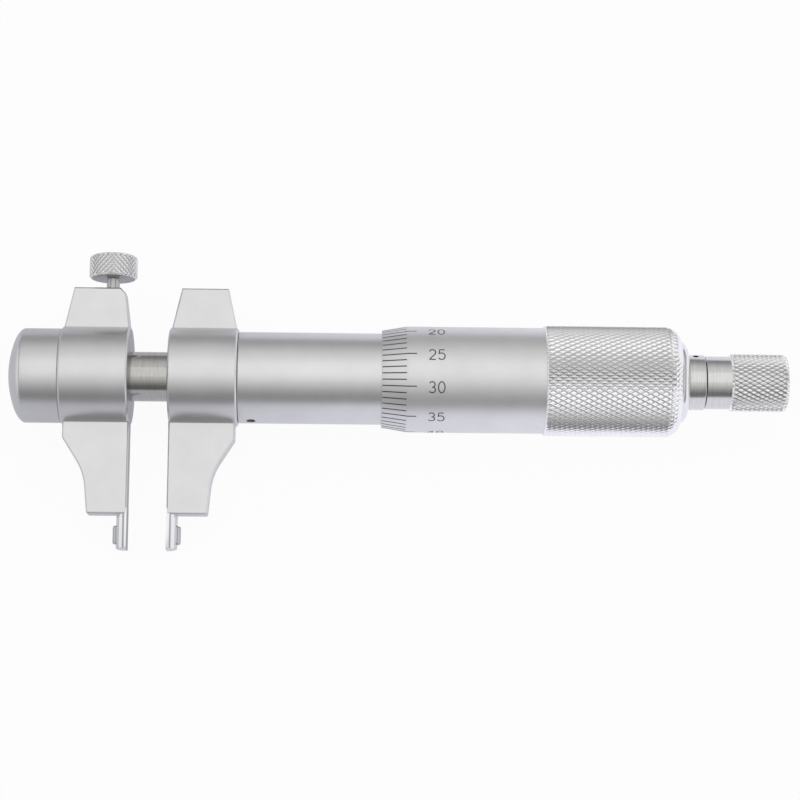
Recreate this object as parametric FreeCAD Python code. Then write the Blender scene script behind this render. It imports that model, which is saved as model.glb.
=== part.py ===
import FreeCAD, Part
import math
import os

# Caliper-jaw inside micrometer, 5 to 30 mm. All sizes are in millimetres.
# It is drawn along X with the spindle on the X axis: the ratchet is at +X, the
# measuring tips point to -Y and the graduated barrel lies between them.
# The origin is where the end cap meets the moving jaw, and every station along X
# is worked out from there. The whole instrument is rolled about X at the very end,
# until it lies on its tips and on the thimble's knurl.

# Measuring range and screw
MIN_READING = 5.0
MAX_READING = 30.0
REST_READING = 11.42
CLOSED_GAP = 0.2

# Jaw: hub, wing and blade in one piece
HUB_RADIUS = 8.4
HUB_LENGTH = 11.6
HUB_BEVEL = 0.3
PLATE_THICKNESS = 4.0
PLATE_BEVEL = 0.25
WING_TOP = 15.0
WING_TOP_INSET = 1.85
WING_SLOPE_INSET = 0.12
WING_CORNER_CUT = 0.95
BLADE_INSET = 0.4
BLADE_SHOULDER_DROP = 10.8
BLADE_WAIST_WIDTH = 7.47
BLADE_WAIST_DROP = 16.66
BLADE_WAIST_RADIUS = 10.0
BLADE_FOOT_WIDTH = 6.8
BLADE_FOOT_DROP = 23.6

# Half-round measuring tip with its hard metal contact
TIP_RADIUS = 1.95
TIP_DROP = 29.5
TIP_BEVEL = 0.35
CONTACT_RADIUS = 0.9
CONTACT_PROUD = 0.55
CONTACT_LENGTH = 3.1
CONTACT_END_MARGIN = 0.9
CONTACT_BEVEL = 0.3

# Clearances
RUNNING_GAP = 0.05
SEAT_GAP = 0.02
FACE_GAP = 0.05
REST_GAP = 0.3

# End cap on the moving jaw
CAP_RADIUS = 8.0
CAP_WALL_LENGTH = 6.2
CAP_CORNER_LENGTH = 2.0
CAP_CROWN_RADIUS = 5.05
CAP_CROWN_RISE = 0.8
CAP_WALL = 1.2
CAP_LIP_BEVEL = 0.15
SPIGOT_WALL = 1.3
SPIGOT_LENGTH = 1.6

# Spindle and guide tube
JOURNAL_RADIUS = 2.5
JOURNAL_REACH = 4.6
WEB_THICKNESS = 5.0
SHANK_RADIUS = 3.0
GUIDE_RADIUS = 4.2
THREAD_RADIUS = 3.6
THREAD_STEP = 0.5
TAPER_RADIUS = 3.4
TAPER_SLOPE = 0.12
TAPER_SHORTFALL = 0.3

# Retaining nut and washers inside the cap
THRUST_WASHER_RADIUS = 4.7
THRUST_WASHER_THICKNESS = 0.8
NUT_RADIUS = 4.4
NUT_LENGTH = 2.6
NUT_SLOT_WIDTH = 1.2

# Guide key in the fixed hub and its slot in the guide tube
KEY_RADIUS = 0.75
KEY_SETBACK = 2.4
KEY_DEPTH = 0.8
SLOT_END_MARGIN = 0.35

# Barrel: inner sleeve, adjusting nut and graduated sleeve
HUB_LIP = 2.0
NUT_ZONE_LENGTH = 12.5
SLIT_WIDTH = 0.5
SLIT_LENGTH = 8.5
SLIT_COUNT = 3
CONE_LENGTH = 7.0
CONE_DROP = 0.35
ADJUST_NUT_SETBACK = 0.5
ADJUST_NUT_CLEARANCE = 0.5
ADJUST_NUT_LENGTH = 4.6
ADJUST_NUT_NOTCHES = 4
ADJUST_NUT_NOTCH_WIDTH = 1.4
ADJUST_NUT_NOTCH_DEPTH = 1.2
BARREL_WALL = 1.75
SLEEVE_WALL = 1.7
SLEEVE_HIDDEN_REACH = 8.0
SLEEVE_BEVEL = 0.2
SCALE_SETBACK = 5.7
SPANNER_HOLE_RADIUS = 0.75
SPANNER_HOLE_SETBACK = 2.28
SPANNER_HOLE_ANGLE = -80.0

# Thimble
THIMBLE_EDGE_WALL = 0.45
THIMBLE_TAPER_LENGTH = 4.4
THIMBLE_RISE = 0.75
THIMBLE_PLAIN_LENGTH = 27.5
KNURL_RISE = 0.4
KNURL_STEP = 0.2
KNURL_LENGTH = 21.7
THIMBLE_NOSE_LENGTH = 2.85
THIMBLE_NOSE_RADIUS = 4.9
THIMBLE_SHOULDER_LENGTH = 1.6
THIMBLE_SHOULDER_RADIUS = 7.0
END_WALL = 4.15
END_WALL_CLEARANCE = 0.6

# Ratchet stop
BASE_RADIUS = 4.7
BASE_LENGTH = 2.8
BASE_BEVEL = 0.15
BASE_HOLE_RADIUS = 0.5
BASE_HOLE_DEPTH = 2.0
BASE_HOLE_SETBACK = 1.3
BASE_HOLE_ANGLE = 62.0
INNER_STUD_RADIUS = 1.5
INNER_STUD_LENGTH = 5.2
KNOB_SEAM = 0.15
STUD_RADIUS = 2.0
KNOB_LENGTH = 14.0
COLLAR_RADIUS = 4.5
COLLAR_LENGTH = 4.2
KNOB_RADIUS = 4.9
KNOB_BEVEL = 0.8
KNOB_WALL = 1.1
KNOB_CAVITY_LENGTH = 8.0
KNOB_RIM = 1.7
KNOB_RECESS_DEPTH = 2.35
TOOTH_COUNT = 12
TOOTH_HEIGHT = 0.5
TOOTH_WIDTH = 1.08
TOOTH_RING_CLEARANCE = 0.15
TOOTH_RING_BORE_GAP = 0.2
CLUTCH_THICKNESS = 1.5
CLUTCH_LUG_WIDTH = 1.4
CLUTCH_LUG_HEIGHT = 0.4
SPRING_WIRE = 0.45
SPRING_TURNS = 4
STUD_SCREW_RADIUS = 1.0
STUD_SCREW_LENGTH = 4.0
STUD_SCREW_HEAD_CLEARANCE = 0.3
STUD_SCREW_HEAD_LENGTH = 1.4
STUD_SCREW_SLOT = 0.6
STUD_SCREW_BEVEL = 0.2

# Lock screw above the moving jaw
LOCK_SETBACK = 3.4
LOCK_SHANK_RADIUS = 1.25
LOCK_NECK_RADIUS = 1.1
LOCK_NECK_START = 14.2
LOCK_NECK_EXPOSED = 1.8
LOCK_KNOB_RADIUS = 4.1
LOCK_KNOB_HEIGHT = 3.95
LOCK_KNOB_BEVEL = 0.35
PAD_LENGTH = 2.0

# Stations along X, worked left to right from the seam at zero
gap_at_rest = REST_READING - MIN_READING + CLOSED_GAP
closing_travel = REST_READING - MIN_READING
opening_travel = MAX_READING - REST_READING
moving_face = HUB_LENGTH
fixed_face = moving_face + gap_at_rest
fixed_back = fixed_face + HUB_LENGTH
thimble_edge = fixed_back + SCALE_SETBACK + opening_travel
knurl_start = thimble_edge + THIMBLE_PLAIN_LENGTH
knurl_end = knurl_start + KNURL_LENGTH
thimble_end = knurl_end + THIMBLE_NOSE_LENGTH
end_wall_face = thimble_end - END_WALL
barrel_end = end_wall_face - opening_travel - END_WALL_CLEARANCE
nut_zone_start = barrel_end - NUT_ZONE_LENGTH
guide_end = nut_zone_start - closing_travel - 2 * THREAD_STEP
thread_start = guide_end + THREAD_STEP
sleeve_end = thimble_edge + closing_travel + SLEEVE_HIDDEN_REACH
key_station = fixed_back - KEY_SETBACK
lock_station = moving_face - LOCK_SETBACK
base_end = thimble_end + BASE_LENGTH
knob_start = base_end + KNOB_SEAM
knob_end = knob_start + KNOB_LENGTH
knob_recess = knob_end - KNOB_RECESS_DEPTH
knob_cavity_end = knob_start + KNOB_CAVITY_LENGTH
stud_end = knob_recess + 2 * FACE_GAP

# Radii and heights that follow from the ones above
half_plate = PLATE_THICKNESS / 2
guide_bore = SHANK_RADIUS + RUNNING_GAP
slide_bore = GUIDE_RADIUS + RUNNING_GAP
inner_sleeve_radius = slide_bore + BARREL_WALL
sleeve_bore = inner_sleeve_radius + RUNNING_GAP
sleeve_radius = sleeve_bore + SLEEVE_WALL
thimble_bore = sleeve_radius + RUNNING_GAP
thimble_edge_radius = thimble_bore + THIMBLE_EDGE_WALL
thimble_radius = thimble_edge_radius + THIMBLE_RISE
knurl_radius = thimble_radius + KNURL_RISE
adjust_nut_radius = thimble_bore - ADJUST_NUT_CLEARANCE
knob_cavity_radius = COLLAR_RADIUS - KNOB_WALL
knob_recess_radius = KNOB_RADIUS - KNOB_RIM
stud_screw_head_radius = knob_recess_radius - STUD_SCREW_HEAD_CLEARANCE
tooth_ring_outer = knob_cavity_radius - TOOTH_RING_CLEARANCE
tooth_ring_inner = STUD_RADIUS + TOOTH_RING_BORE_GAP
cap_bore = CAP_RADIUS - CAP_WALL
cap_core = CAP_CROWN_RADIUS - CAP_WALL
tip_reach = TIP_RADIUS - CLOSED_GAP / 2
contact_reach = tip_reach + CONTACT_PROUD
contact_bottom = -TIP_DROP + CONTACT_END_MARGIN
wing_top_outer = HUB_LENGTH - WING_TOP_INSET + 0.05
lock_hole = LOCK_SHANK_RADIUS + RUNNING_GAP
pad_bottom = SHANK_RADIUS + REST_GAP
pad_top = pad_bottom + PAD_LENGTH
lock_bottom = pad_top + FACE_GAP
lock_knob_base = WING_TOP + LOCK_NECK_EXPOSED


def vec(x, y, z):
    return FreeCAD.Vector(x, y, z)


def bar(x0, x1, radius):
    """Solid round bar on the X axis from station x0 to station x1."""
    return Part.makeCylinder(radius, x1 - x0, vec(x0, 0, 0), vec(1, 0, 0))


def tube(x0, x1, outer, inner):
    """Plain tube on the X axis."""
    return bar(x0, x1, outer).cut(bar(x0 - 1, x1 + 1, inner))


def cone(x0, x1, r0, r1):
    """Tapered round on the X axis, radius r0 at x0 and r1 at x1."""
    return Part.makeCone(r0, r1, x1 - x0, vec(x0, 0, 0), vec(1, 0, 0))


def upright(y0, y1, radius, x, z=0):
    """Round bar along Y, standing at station x."""
    return Part.makeCylinder(radius, y1 - y0, vec(x, y0, z), vec(0, 1, 0))


def radial(r0, r1, radius, x, angle):
    """Round bar that points out from the axis; angle is measured from +Z towards +Y."""
    turn = math.radians(angle)
    out = vec(0, math.sin(turn), math.cos(turn))
    return Part.makeCylinder(radius, r1 - r0, vec(x, 0, 0) + out * r0, out)


def block(x0, x1, y0, y1, z0, z1):
    return Part.makeBox(x1 - x0, y1 - y0, z1 - z0, vec(x0, y0, z0))


def revolve(edges):
    """Solid turned about the X axis from a closed chain of edges in the XY plane."""
    face = Part.Face(Part.Wire(edges))
    return face.revolve(vec(0, 0, 0), vec(1, 0, 0), 360)


def turned(points):
    """Solid turned about the X axis from (station, radius) corners joined by lines."""
    corners = [vec(x, r, 0) for x, r in points]
    return revolve(Part.makePolygon(corners + corners[:1]).Edges)


def line(a, b):
    return Part.makeLine(vec(a[0], a[1], 0), vec(b[0], b[1], 0))


def arc(a, middle, b):
    """Arc through three (station, radius) points."""
    return Part.Arc(vec(a[0], a[1], 0), vec(middle[0], middle[1], 0), vec(b[0], b[1], 0)).toShape()


def around(shape, count, first=0.0):
    """Copies of a shape spaced evenly about the X axis."""
    copies = []
    for index in range(count):
        copy = shape.copy()
        copy.rotate(vec(0, 0, 0), vec(1, 0, 0), first + index * 360.0 / count)
        copies.append(copy)
    return copies


# Jaws

def jaw_outline(corner_cut):
    """Side view of wing and blade as (distance from the inner face, height) corners."""
    top_inner = [(WING_TOP_INSET, WING_TOP)]
    if corner_cut > 0:
        slope = (WING_TOP_INSET - WING_SLOPE_INSET) / (WING_TOP - HUB_RADIUS)
        top_inner = [
            (WING_TOP_INSET + 0.1 * corner_cut, WING_TOP),
            (WING_TOP_INSET - slope * corner_cut - 0.6 * corner_cut, WING_TOP - corner_cut),
        ]
    return top_inner + [
        (WING_SLOPE_INSET, HUB_RADIUS - 1),
        (0, HUB_RADIUS - 1 - WING_SLOPE_INSET),
        (0, -BLADE_FOOT_DROP),
        (BLADE_FOOT_WIDTH, -BLADE_FOOT_DROP),
        (BLADE_WAIST_WIDTH, -BLADE_WAIST_DROP),
        (HUB_LENGTH - BLADE_INSET, -BLADE_SHOULDER_DROP),
        (HUB_LENGTH - BLADE_INSET, HUB_RADIUS - 2),
        (HUB_LENGTH - WING_SLOPE_INSET, HUB_RADIUS - 1),
        (wing_top_outer, WING_TOP),
    ]


def jaw_plate(corner_cut):
    """Flat wing and blade, with the concave waist and the ground edge bevels."""
    corners = [vec(u, y, -half_plate) for u, y in jaw_outline(corner_cut)]
    face = Part.Face(Part.makePolygon(corners + corners[:1]))
    plate = face.extrude(vec(0, 0, PLATE_THICKNESS))
    waist = [
        e for e in plate.Edges
        if abs(e.BoundBox.XMin - BLADE_WAIST_WIDTH) < 1e-4
        and abs(e.BoundBox.XMax - BLADE_WAIST_WIDTH) < 1e-4
        and abs(e.BoundBox.YMin + BLADE_WAIST_DROP) < 1e-4
        and e.BoundBox.ZLength > half_plate
    ]
    plate = plate.makeFillet(BLADE_WAIST_RADIUS, waist)
    rims = [e for e in plate.Edges if e.BoundBox.ZLength < 1e-6]
    return plate.makeChamfer(PLATE_BEVEL, rims)


def tip_stem():
    """Half-round tip; two closed tips make one round bar with the closing gap left out."""
    axis_u = -CLOSED_GAP / 2
    root = -BLADE_FOOT_DROP + 1
    round_bar = upright(-TIP_DROP, root, TIP_RADIUS, axis_u)
    rim = [e for e in round_bar.Edges if e.BoundBox.YMax < -TIP_DROP + 1e-4]
    round_bar = round_bar.makeChamfer(TIP_BEVEL, rim)
    half = round_bar.common(block(0, 2 * TIP_RADIUS, -TIP_DROP - 1, root + 1, -TIP_RADIUS, TIP_RADIUS))
    seat = upright(
        contact_bottom - SEAT_GAP, contact_bottom + CONTACT_LENGTH + SEAT_GAP,
        CONTACT_RADIUS + SEAT_GAP, contact_reach - CONTACT_RADIUS)
    return half.cut(seat)


def contact_pin():
    """Hard metal pin with bevelled ends, bedded along the tip and standing proud of it."""
    pin = upright(contact_bottom, contact_bottom + CONTACT_LENGTH, CONTACT_RADIUS,
                  contact_reach - CONTACT_RADIUS)
    rims = [e for e in pin.Edges if e.BoundBox.YLength < 1e-6]
    return pin.makeChamfer(CONTACT_BEVEL, rims)


def jaw_blank(corner_cut):
    """Hub, wing, blade and tip in one, measured from the inner face at zero."""
    hub = bar(0, HUB_LENGTH, HUB_RADIUS)
    hub = hub.makeChamfer(HUB_BEVEL, [e for e in hub.Edges if e.BoundBox.XLength < 1e-6])
    return hub.fuse(jaw_plate(corner_cut)).fuse(tip_stem()).removeSplitter()


def facing_left(shape):
    """Turns a jaw piece round so that its inner face looks towards the fixed jaw."""
    flipped = shape.mirror(vec(0, 0, 0), vec(1, 0, 0))
    flipped.translate(vec(moving_face, 0, 0))
    return flipped


def facing_right(shape):
    placed = shape.copy()
    placed.translate(vec(fixed_face, 0, 0))
    return placed


def moving_jaw():
    """Moving jaw: bored for the spindle journal, the guide tube and the lock screw."""
    jaw = facing_left(jaw_blank(WING_CORNER_CUT))
    spigot = tube(-SPIGOT_LENGTH, 1, cap_bore - SEAT_GAP, cap_bore - SPIGOT_WALL)
    jaw = jaw.fuse(spigot)
    jaw = jaw.cut(bar(-1, WEB_THICKNESS + 1, JOURNAL_RADIUS + RUNNING_GAP))
    jaw = jaw.cut(bar(WEB_THICKNESS, moving_face + 1, GUIDE_RADIUS + SEAT_GAP))
    return jaw.cut(upright(0, WING_TOP + 1, lock_hole, lock_station))


def fixed_jaw():
    """Fixed jaw: a lip that the guide tube slides through, then the bore for the barrel."""
    jaw = facing_right(jaw_blank(0))
    jaw = jaw.cut(bar(fixed_face - 1, fixed_back + 1, slide_bore))
    return jaw.cut(bar(fixed_face + HUB_LIP, fixed_back + 1, inner_sleeve_radius + SEAT_GAP))


def moving_contact():
    return facing_left(contact_pin())


def fixed_contact():
    return facing_right(contact_pin())


# Moving group: cap, guide tube, washer

def end_cap():
    """Hollow cap with a rounded corner and a shallow crown, slipped over the jaw's spigot."""
    wall = (-CAP_WALL_LENGTH, CAP_RADIUS)
    corner = (-CAP_WALL_LENGTH - CAP_CORNER_LENGTH, CAP_CROWN_RADIUS)
    corner_mid = (-CAP_WALL_LENGTH - 0.6 * CAP_CORNER_LENGTH,
                  CAP_RADIUS - 0.36 * (CAP_RADIUS - CAP_CROWN_RADIUS))
    crown = (corner[0] - CAP_CROWN_RISE, 0)
    ball = (CAP_CROWN_RADIUS ** 2 + CAP_CROWN_RISE ** 2) / (2 * CAP_CROWN_RISE)
    half_way = CAP_CROWN_RADIUS / 2
    crown_mid = (crown[0] + ball - math.sqrt(ball ** 2 - half_way ** 2), half_way)
    floor = corner[0] + CAP_WALL / 2
    return revolve([
        line((-CAP_LIP_BEVEL, CAP_RADIUS), wall),
        arc(wall, corner_mid, corner),
        arc(corner, crown_mid, crown),
        line(crown, (floor, 0)),
        line((floor, 0), (floor, cap_core)),
        line((floor, cap_core), (-CAP_WALL_LENGTH, cap_bore)),
        line((-CAP_WALL_LENGTH, cap_bore), (0, cap_bore)),
        line((0, cap_bore), (0, CAP_RADIUS - CAP_LIP_BEVEL)),
        line((0, CAP_RADIUS - CAP_LIP_BEVEL), (-CAP_LIP_BEVEL, CAP_RADIUS)),
    ])


def thrust_washer():
    return tube(-THRUST_WASHER_THICKNESS, 0, THRUST_WASHER_RADIUS, JOURNAL_RADIUS + RUNNING_GAP)


def guide_tube():
    """Ground tube that carries the moving jaw; the keyway on its back stops it turning."""
    body = tube(WEB_THICKNESS, guide_end, GUIDE_RADIUS, guide_bore)
    body = body.cut(upright(0, GUIDE_RADIUS + 1, lock_hole, lock_station))
    width = KEY_RADIUS + RUNNING_GAP
    first = key_station - closing_travel - SLOT_END_MARGIN
    last = key_station + opening_travel + SLOT_END_MARGIN
    slot = block(first, last, -width, width, -GUIDE_RADIUS - 1, 0)
    slot = slot.fuse(radial(0, GUIDE_RADIUS + 1, width, first, 180))
    slot = slot.fuse(radial(0, GUIDE_RADIUS + 1, width, last, 180))
    return body.cut(slot)


def guide_key():
    """Pin in the barrel wall, under the fixed hub, that runs in the keyway."""
    return radial(GUIDE_RADIUS - KEY_DEPTH, inner_sleeve_radius - 2 * RUNNING_GAP, KEY_RADIUS,
                  key_station, 180)


# Barrel

def inner_sleeve():
    """Barrel with the long slide bore and the slit, tapered nut that the spindle runs in."""
    first = fixed_face + HUB_LIP
    cone_start = barrel_end - CONE_LENGTH
    outer = bar(first, cone_start, inner_sleeve_radius)
    outer = outer.fuse(cone(cone_start, barrel_end, inner_sleeve_radius, inner_sleeve_radius - CONE_DROP))
    body = outer.cut(bar(first - 1, nut_zone_start, slide_bore))
    body = body.cut(bar(nut_zone_start - 1, barrel_end + 1, THREAD_RADIUS + RUNNING_GAP))
    slit = block(barrel_end - SLIT_LENGTH, barrel_end + 1, 0, inner_sleeve_radius + 1,
                 -SLIT_WIDTH / 2, SLIT_WIDTH / 2)
    for cut in around(slit, SLIT_COUNT):
        body = body.cut(cut)
    return body.cut(radial(0, inner_sleeve_radius + 1, KEY_RADIUS + SEAT_GAP, key_station, 180))


def adjusting_nut():
    """Notched ring on the taper; turning it closes the slit nut on the spindle."""
    last = barrel_end - ADJUST_NUT_SETBACK
    first = last - ADJUST_NUT_LENGTH
    fall = CONE_DROP / CONE_LENGTH
    cone_start = barrel_end - CONE_LENGTH
    bore = cone(first - 1, last + 1,
                inner_sleeve_radius + SEAT_GAP - fall * (first - 1 - cone_start),
                inner_sleeve_radius + SEAT_GAP - fall * (last + 1 - cone_start))
    ring = bar(first, last, adjust_nut_radius).cut(bore)
    half = ADJUST_NUT_NOTCH_WIDTH / 2
    floor = (adjust_nut_radius + inner_sleeve_radius) / 2
    notch = block(last - ADJUST_NUT_NOTCH_DEPTH, last + 1, floor, adjust_nut_radius + 1, -half, half)
    for cut in around(notch, ADJUST_NUT_NOTCHES, 45):
        ring = ring.cut(cut)
    return ring


def graduated_sleeve():
    """Outer sleeve that turns on the barrel to set zero, with its spanner hole."""
    first = fixed_back + FACE_GAP
    body = turned([
        (first, sleeve_bore),
        (first, sleeve_radius - SLEEVE_BEVEL),
        (first + SLEEVE_BEVEL, sleeve_radius),
        (sleeve_end - SLEEVE_BEVEL, sleeve_radius),
        (sleeve_end, sleeve_radius - SLEEVE_BEVEL),
        (sleeve_end, sleeve_bore),
    ])
    hole = radial(inner_sleeve_radius - 1, sleeve_radius + 1, SPANNER_HOLE_RADIUS,
                  fixed_back + SPANNER_HOLE_SETBACK, SPANNER_HOLE_ANGLE)
    return body.cut(hole)


# Spindle group

def taper_radius(station):
    """Radius of the thimble's seat on the spindle at a station along the end wall."""
    return TAPER_RADIUS - TAPER_SLOPE * (station - end_wall_face)


def spindle():
    """One-piece spindle: journal, shank, screw and the taper that carries the thimble."""
    taper_end = thimble_end - TAPER_SHORTFALL
    shoulder = WEB_THICKNESS + FACE_GAP
    body = turned([
        (-JOURNAL_REACH, 0),
        (-JOURNAL_REACH, JOURNAL_RADIUS - HUB_BEVEL),
        (-JOURNAL_REACH + HUB_BEVEL, JOURNAL_RADIUS),
        (shoulder, JOURNAL_RADIUS),
        (shoulder, SHANK_RADIUS),
        (thread_start, SHANK_RADIUS),
        (thread_start + THREAD_STEP, THREAD_RADIUS),
        (end_wall_face - THREAD_STEP, THREAD_RADIUS),
        (end_wall_face, taper_radius(end_wall_face)),
        (taper_end, taper_radius(taper_end)),
        (taper_end, 0),
    ])
    hole = bar(thimble_end - INNER_STUD_LENGTH - 0.5, thimble_end, INNER_STUD_RADIUS + SEAT_GAP)
    return body.cut(hole)


def thimble():
    """Thimble: bevelled graduated edge, plain band, raised knurl band, shoulder and nose."""
    return turned([
        (thimble_edge, thimble_bore),
        (thimble_edge, thimble_edge_radius),
        (thimble_edge + THIMBLE_TAPER_LENGTH, thimble_radius),
        (knurl_start, thimble_radius),
        (knurl_start + KNURL_STEP, knurl_radius),
        (knurl_end - KNURL_STEP, knurl_radius),
        (knurl_end + KNURL_STEP, knurl_radius - KNURL_STEP),
        (knurl_end + THIMBLE_SHOULDER_LENGTH, THIMBLE_SHOULDER_RADIUS),
        (thimble_end, THIMBLE_NOSE_RADIUS),
        (thimble_end, taper_radius(thimble_end) + SEAT_GAP),
        (end_wall_face, taper_radius(end_wall_face) + SEAT_GAP),
        (end_wall_face, thimble_bore),
    ])


def retaining_nut():
    """Slotted round nut on the journal that holds the moving jaw on the spindle."""
    last = -THRUST_WASHER_THICKNESS - FACE_GAP
    first = last - NUT_LENGTH
    nut = tube(first, last, NUT_RADIUS, JOURNAL_RADIUS + SEAT_GAP)
    half = NUT_SLOT_WIDTH / 2
    slot = block(first - 1, first + 0.9, -NUT_RADIUS - 1, NUT_RADIUS + 1, -half, half)
    return nut.cut(slot)


# Ratchet stop

def tooth_ring(first, last, crests_at_first):
    """Ring of radial face teeth, made by cutting V grooves across it."""
    ring = tube(first, last, tooth_ring_outer, tooth_ring_inner)
    crest = first if crests_at_first else last
    root = last if crests_at_first else first
    over = crest + 0.2 * (crest - root)
    half = TOOTH_WIDTH / 2
    corners = [vec(over, 0, -half), vec(over, 0, half), vec(root, 0, 0)]
    groove = Part.Face(Part.makePolygon(corners + corners[:1])).extrude(vec(0, KNOB_RADIUS, 0))
    for cut in around(groove, TOOTH_COUNT):
        ring = ring.cut(cut)
    return ring


def ratchet_base():
    """Flange that clamps the thimble on its taper, with the toothed face and the stud."""
    flange = bar(thimble_end, base_end, BASE_RADIUS)
    flange = flange.makeChamfer(BASE_BEVEL, [e for e in flange.Edges if e.BoundBox.XLength < 1e-6])
    inner = bar(thimble_end - INNER_STUD_LENGTH, thimble_end + 1, INNER_STUD_RADIUS)
    stud = bar(base_end - 1, stud_end, STUD_RADIUS)
    teeth = tooth_ring(base_end, base_end + TOOTH_HEIGHT, False)
    body = flange.fuse(inner).fuse(stud).fuse(teeth)
    body = body.cut(bar(stud_end - STUD_SCREW_LENGTH - 0.5, stud_end + 1, STUD_SCREW_RADIUS + SEAT_GAP))
    return body.cut(radial(BASE_RADIUS - BASE_HOLE_DEPTH, BASE_RADIUS + 1, BASE_HOLE_RADIUS,
                           thimble_end + BASE_HOLE_SETBACK, BASE_HOLE_ANGLE))


def lug_pair(x0, x1, gap):
    """Two keys across the clutch, grown by a gap where they cut their slots in the knob."""
    reach = tooth_ring_outer + CLUTCH_LUG_HEIGHT + gap
    half = CLUTCH_LUG_WIDTH / 2 + gap
    return block(x0, x1, -reach, reach, -half, half)


def clutch_face():
    """Station of the clutch teeth's crests, just clear of the teeth on the base."""
    return base_end + TOOTH_HEIGHT + FACE_GAP


def clutch_disc():
    """Toothed disc, keyed to the knob by two lugs and free to slide along the stud."""
    crest = clutch_face()
    root = crest + TOOTH_HEIGHT
    back = crest + CLUTCH_THICKNESS
    body = bar(root, back, tooth_ring_outer).fuse(lug_pair(root, back, 0))
    body = body.fuse(tooth_ring(crest, root, True))
    return body.cut(bar(crest - 1, back + 1, STUD_RADIUS + RUNNING_GAP))


def ratchet_spring():
    """Square-wire coil spring round the stud that presses the clutch onto the base."""
    first = clutch_face() + CLUTCH_THICKNESS
    last = knob_cavity_end
    radius = (STUD_RADIUS + knob_cavity_radius) / 2
    half = SPRING_WIRE / 2
    height = last - first - SPRING_WIRE - 2 * SEAT_GAP
    coil = Part.makeHelix(height / SPRING_TURNS, height, radius)
    corners = [vec(radius + a * half, 0, b * half) for a, b in ((-1, -1), (1, -1), (1, 1), (-1, 1))]
    start = Part.makePolygon(corners + corners[:1])
    wire = Part.Wire(coil.Edges).makePipeShell([start], True, True)
    wire.rotate(vec(0, 0, 0), vec(0, 1, 0), 90)
    wire.translate(vec(first + half + SEAT_GAP, 0, 0))
    return wire


def ratchet_knob():
    """Knurled knob with its plain collar, spring chamber, end recess and key slots."""
    shoulder = knob_start + COLLAR_LENGTH
    body = turned([
        (knob_start, knob_cavity_radius),
        (knob_start, COLLAR_RADIUS - BASE_BEVEL),
        (knob_start + BASE_BEVEL, COLLAR_RADIUS),
        (shoulder, COLLAR_RADIUS),
        (shoulder + BASE_BEVEL, KNOB_RADIUS),
        (knob_end - KNOB_BEVEL, KNOB_RADIUS),
        (knob_end, KNOB_RADIUS - KNOB_BEVEL),
        (knob_end, knob_recess_radius),
        (knob_recess, knob_recess_radius),
        (knob_recess, STUD_RADIUS + RUNNING_GAP),
        (knob_cavity_end, STUD_RADIUS + RUNNING_GAP),
        (knob_cavity_end, knob_cavity_radius),
    ])
    return body.cut(lug_pair(knob_start - 1, clutch_face() + 2 * CLUTCH_THICKNESS, RUNNING_GAP))


def stud_screw():
    """Slotted screw in the end of the stud that keeps the knob on."""
    head_end = stud_end + STUD_SCREW_HEAD_LENGTH
    head = bar(stud_end, head_end, stud_screw_head_radius)
    head = head.makeChamfer(STUD_SCREW_BEVEL, [e for e in head.Edges if e.BoundBox.XMin > head_end - 1e-4])
    half = STUD_SCREW_SLOT / 2
    reach = stud_screw_head_radius + 1
    slot = block(head_end - STUD_SCREW_SLOT, head_end + 1, -reach, reach, -half, half)
    return head.fuse(bar(stud_end - STUD_SCREW_LENGTH, stud_end + 0.5, STUD_SCREW_RADIUS)).cut(slot)


# Spindle lock

def clamp_pad():
    """Soft plug below the lock screw, hollowed to the round of the spindle."""
    plug = upright(0, pad_top, LOCK_SHANK_RADIUS, lock_station)
    hollow = bar(lock_station - 2 * LOCK_SHANK_RADIUS, lock_station + 2 * LOCK_SHANK_RADIUS, pad_bottom)
    return plug.cut(hollow)


def lock_screw():
    """Lock screw with its thin neck and broad round knob."""
    shank = upright(lock_bottom, LOCK_NECK_START, LOCK_SHANK_RADIUS, lock_station)
    neck = upright(LOCK_NECK_START - 0.5, lock_knob_base + 0.5, LOCK_NECK_RADIUS, lock_station)
    knob = upright(lock_knob_base, lock_knob_base + LOCK_KNOB_HEIGHT, LOCK_KNOB_RADIUS, lock_station)
    knob = knob.makeChamfer(LOCK_KNOB_BEVEL, [e for e in knob.Edges if e.BoundBox.YLength < 1e-6])
    return shank.fuse(neck).fuse(knob)


def rest_roll():
    """Roll in degrees at which the tips touch the plane that the knurl lies on."""
    rolls = []
    for drop, out in ((TIP_DROP - TIP_BEVEL, TIP_RADIUS), (TIP_DROP, TIP_RADIUS - TIP_BEVEL)):
        reach = math.hypot(drop, out)
        rolls.append(math.degrees(math.asin(knurl_radius / reach) - math.atan2(out, drop)))
    return min(rolls)


def write(name, shape, roll):
    """Lays a piece down with the rest of the instrument and writes it to its file."""
    laid = shape.copy()
    laid.rotate(vec(0, 0, 0), vec(1, 0, 0), roll)
    laid.exportStep("parts/" + name + ".step")


def main():
    roll = rest_roll()
    pieces = {
        "fixed_jaw": fixed_jaw,
        "fixed_contact": fixed_contact,
        "inner_sleeve": inner_sleeve,
        "adjusting_nut": adjusting_nut,
        "guide_key": guide_key,
        "graduated_sleeve": graduated_sleeve,
        "moving_jaw": moving_jaw,
        "moving_contact": moving_contact,
        "guide_tube": guide_tube,
        "end_cap": end_cap,
        "thrust_washer": thrust_washer,
        "spindle": spindle,
        "thimble": thimble,
        "retaining_nut": retaining_nut,
        "ratchet_base": ratchet_base,
        "stud_screw": stud_screw,
        "ratchet_knob": ratchet_knob,
        "clutch_disc": clutch_disc,
        "ratchet_spring": ratchet_spring,
        "clamp_pad": clamp_pad,
        "lock_screw": lock_screw,
    }
    for name, make in pieces.items():
        write(name, make(), roll)
    print("pieces:", len(pieces), "roll:", round(roll, 4))


main()
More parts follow.
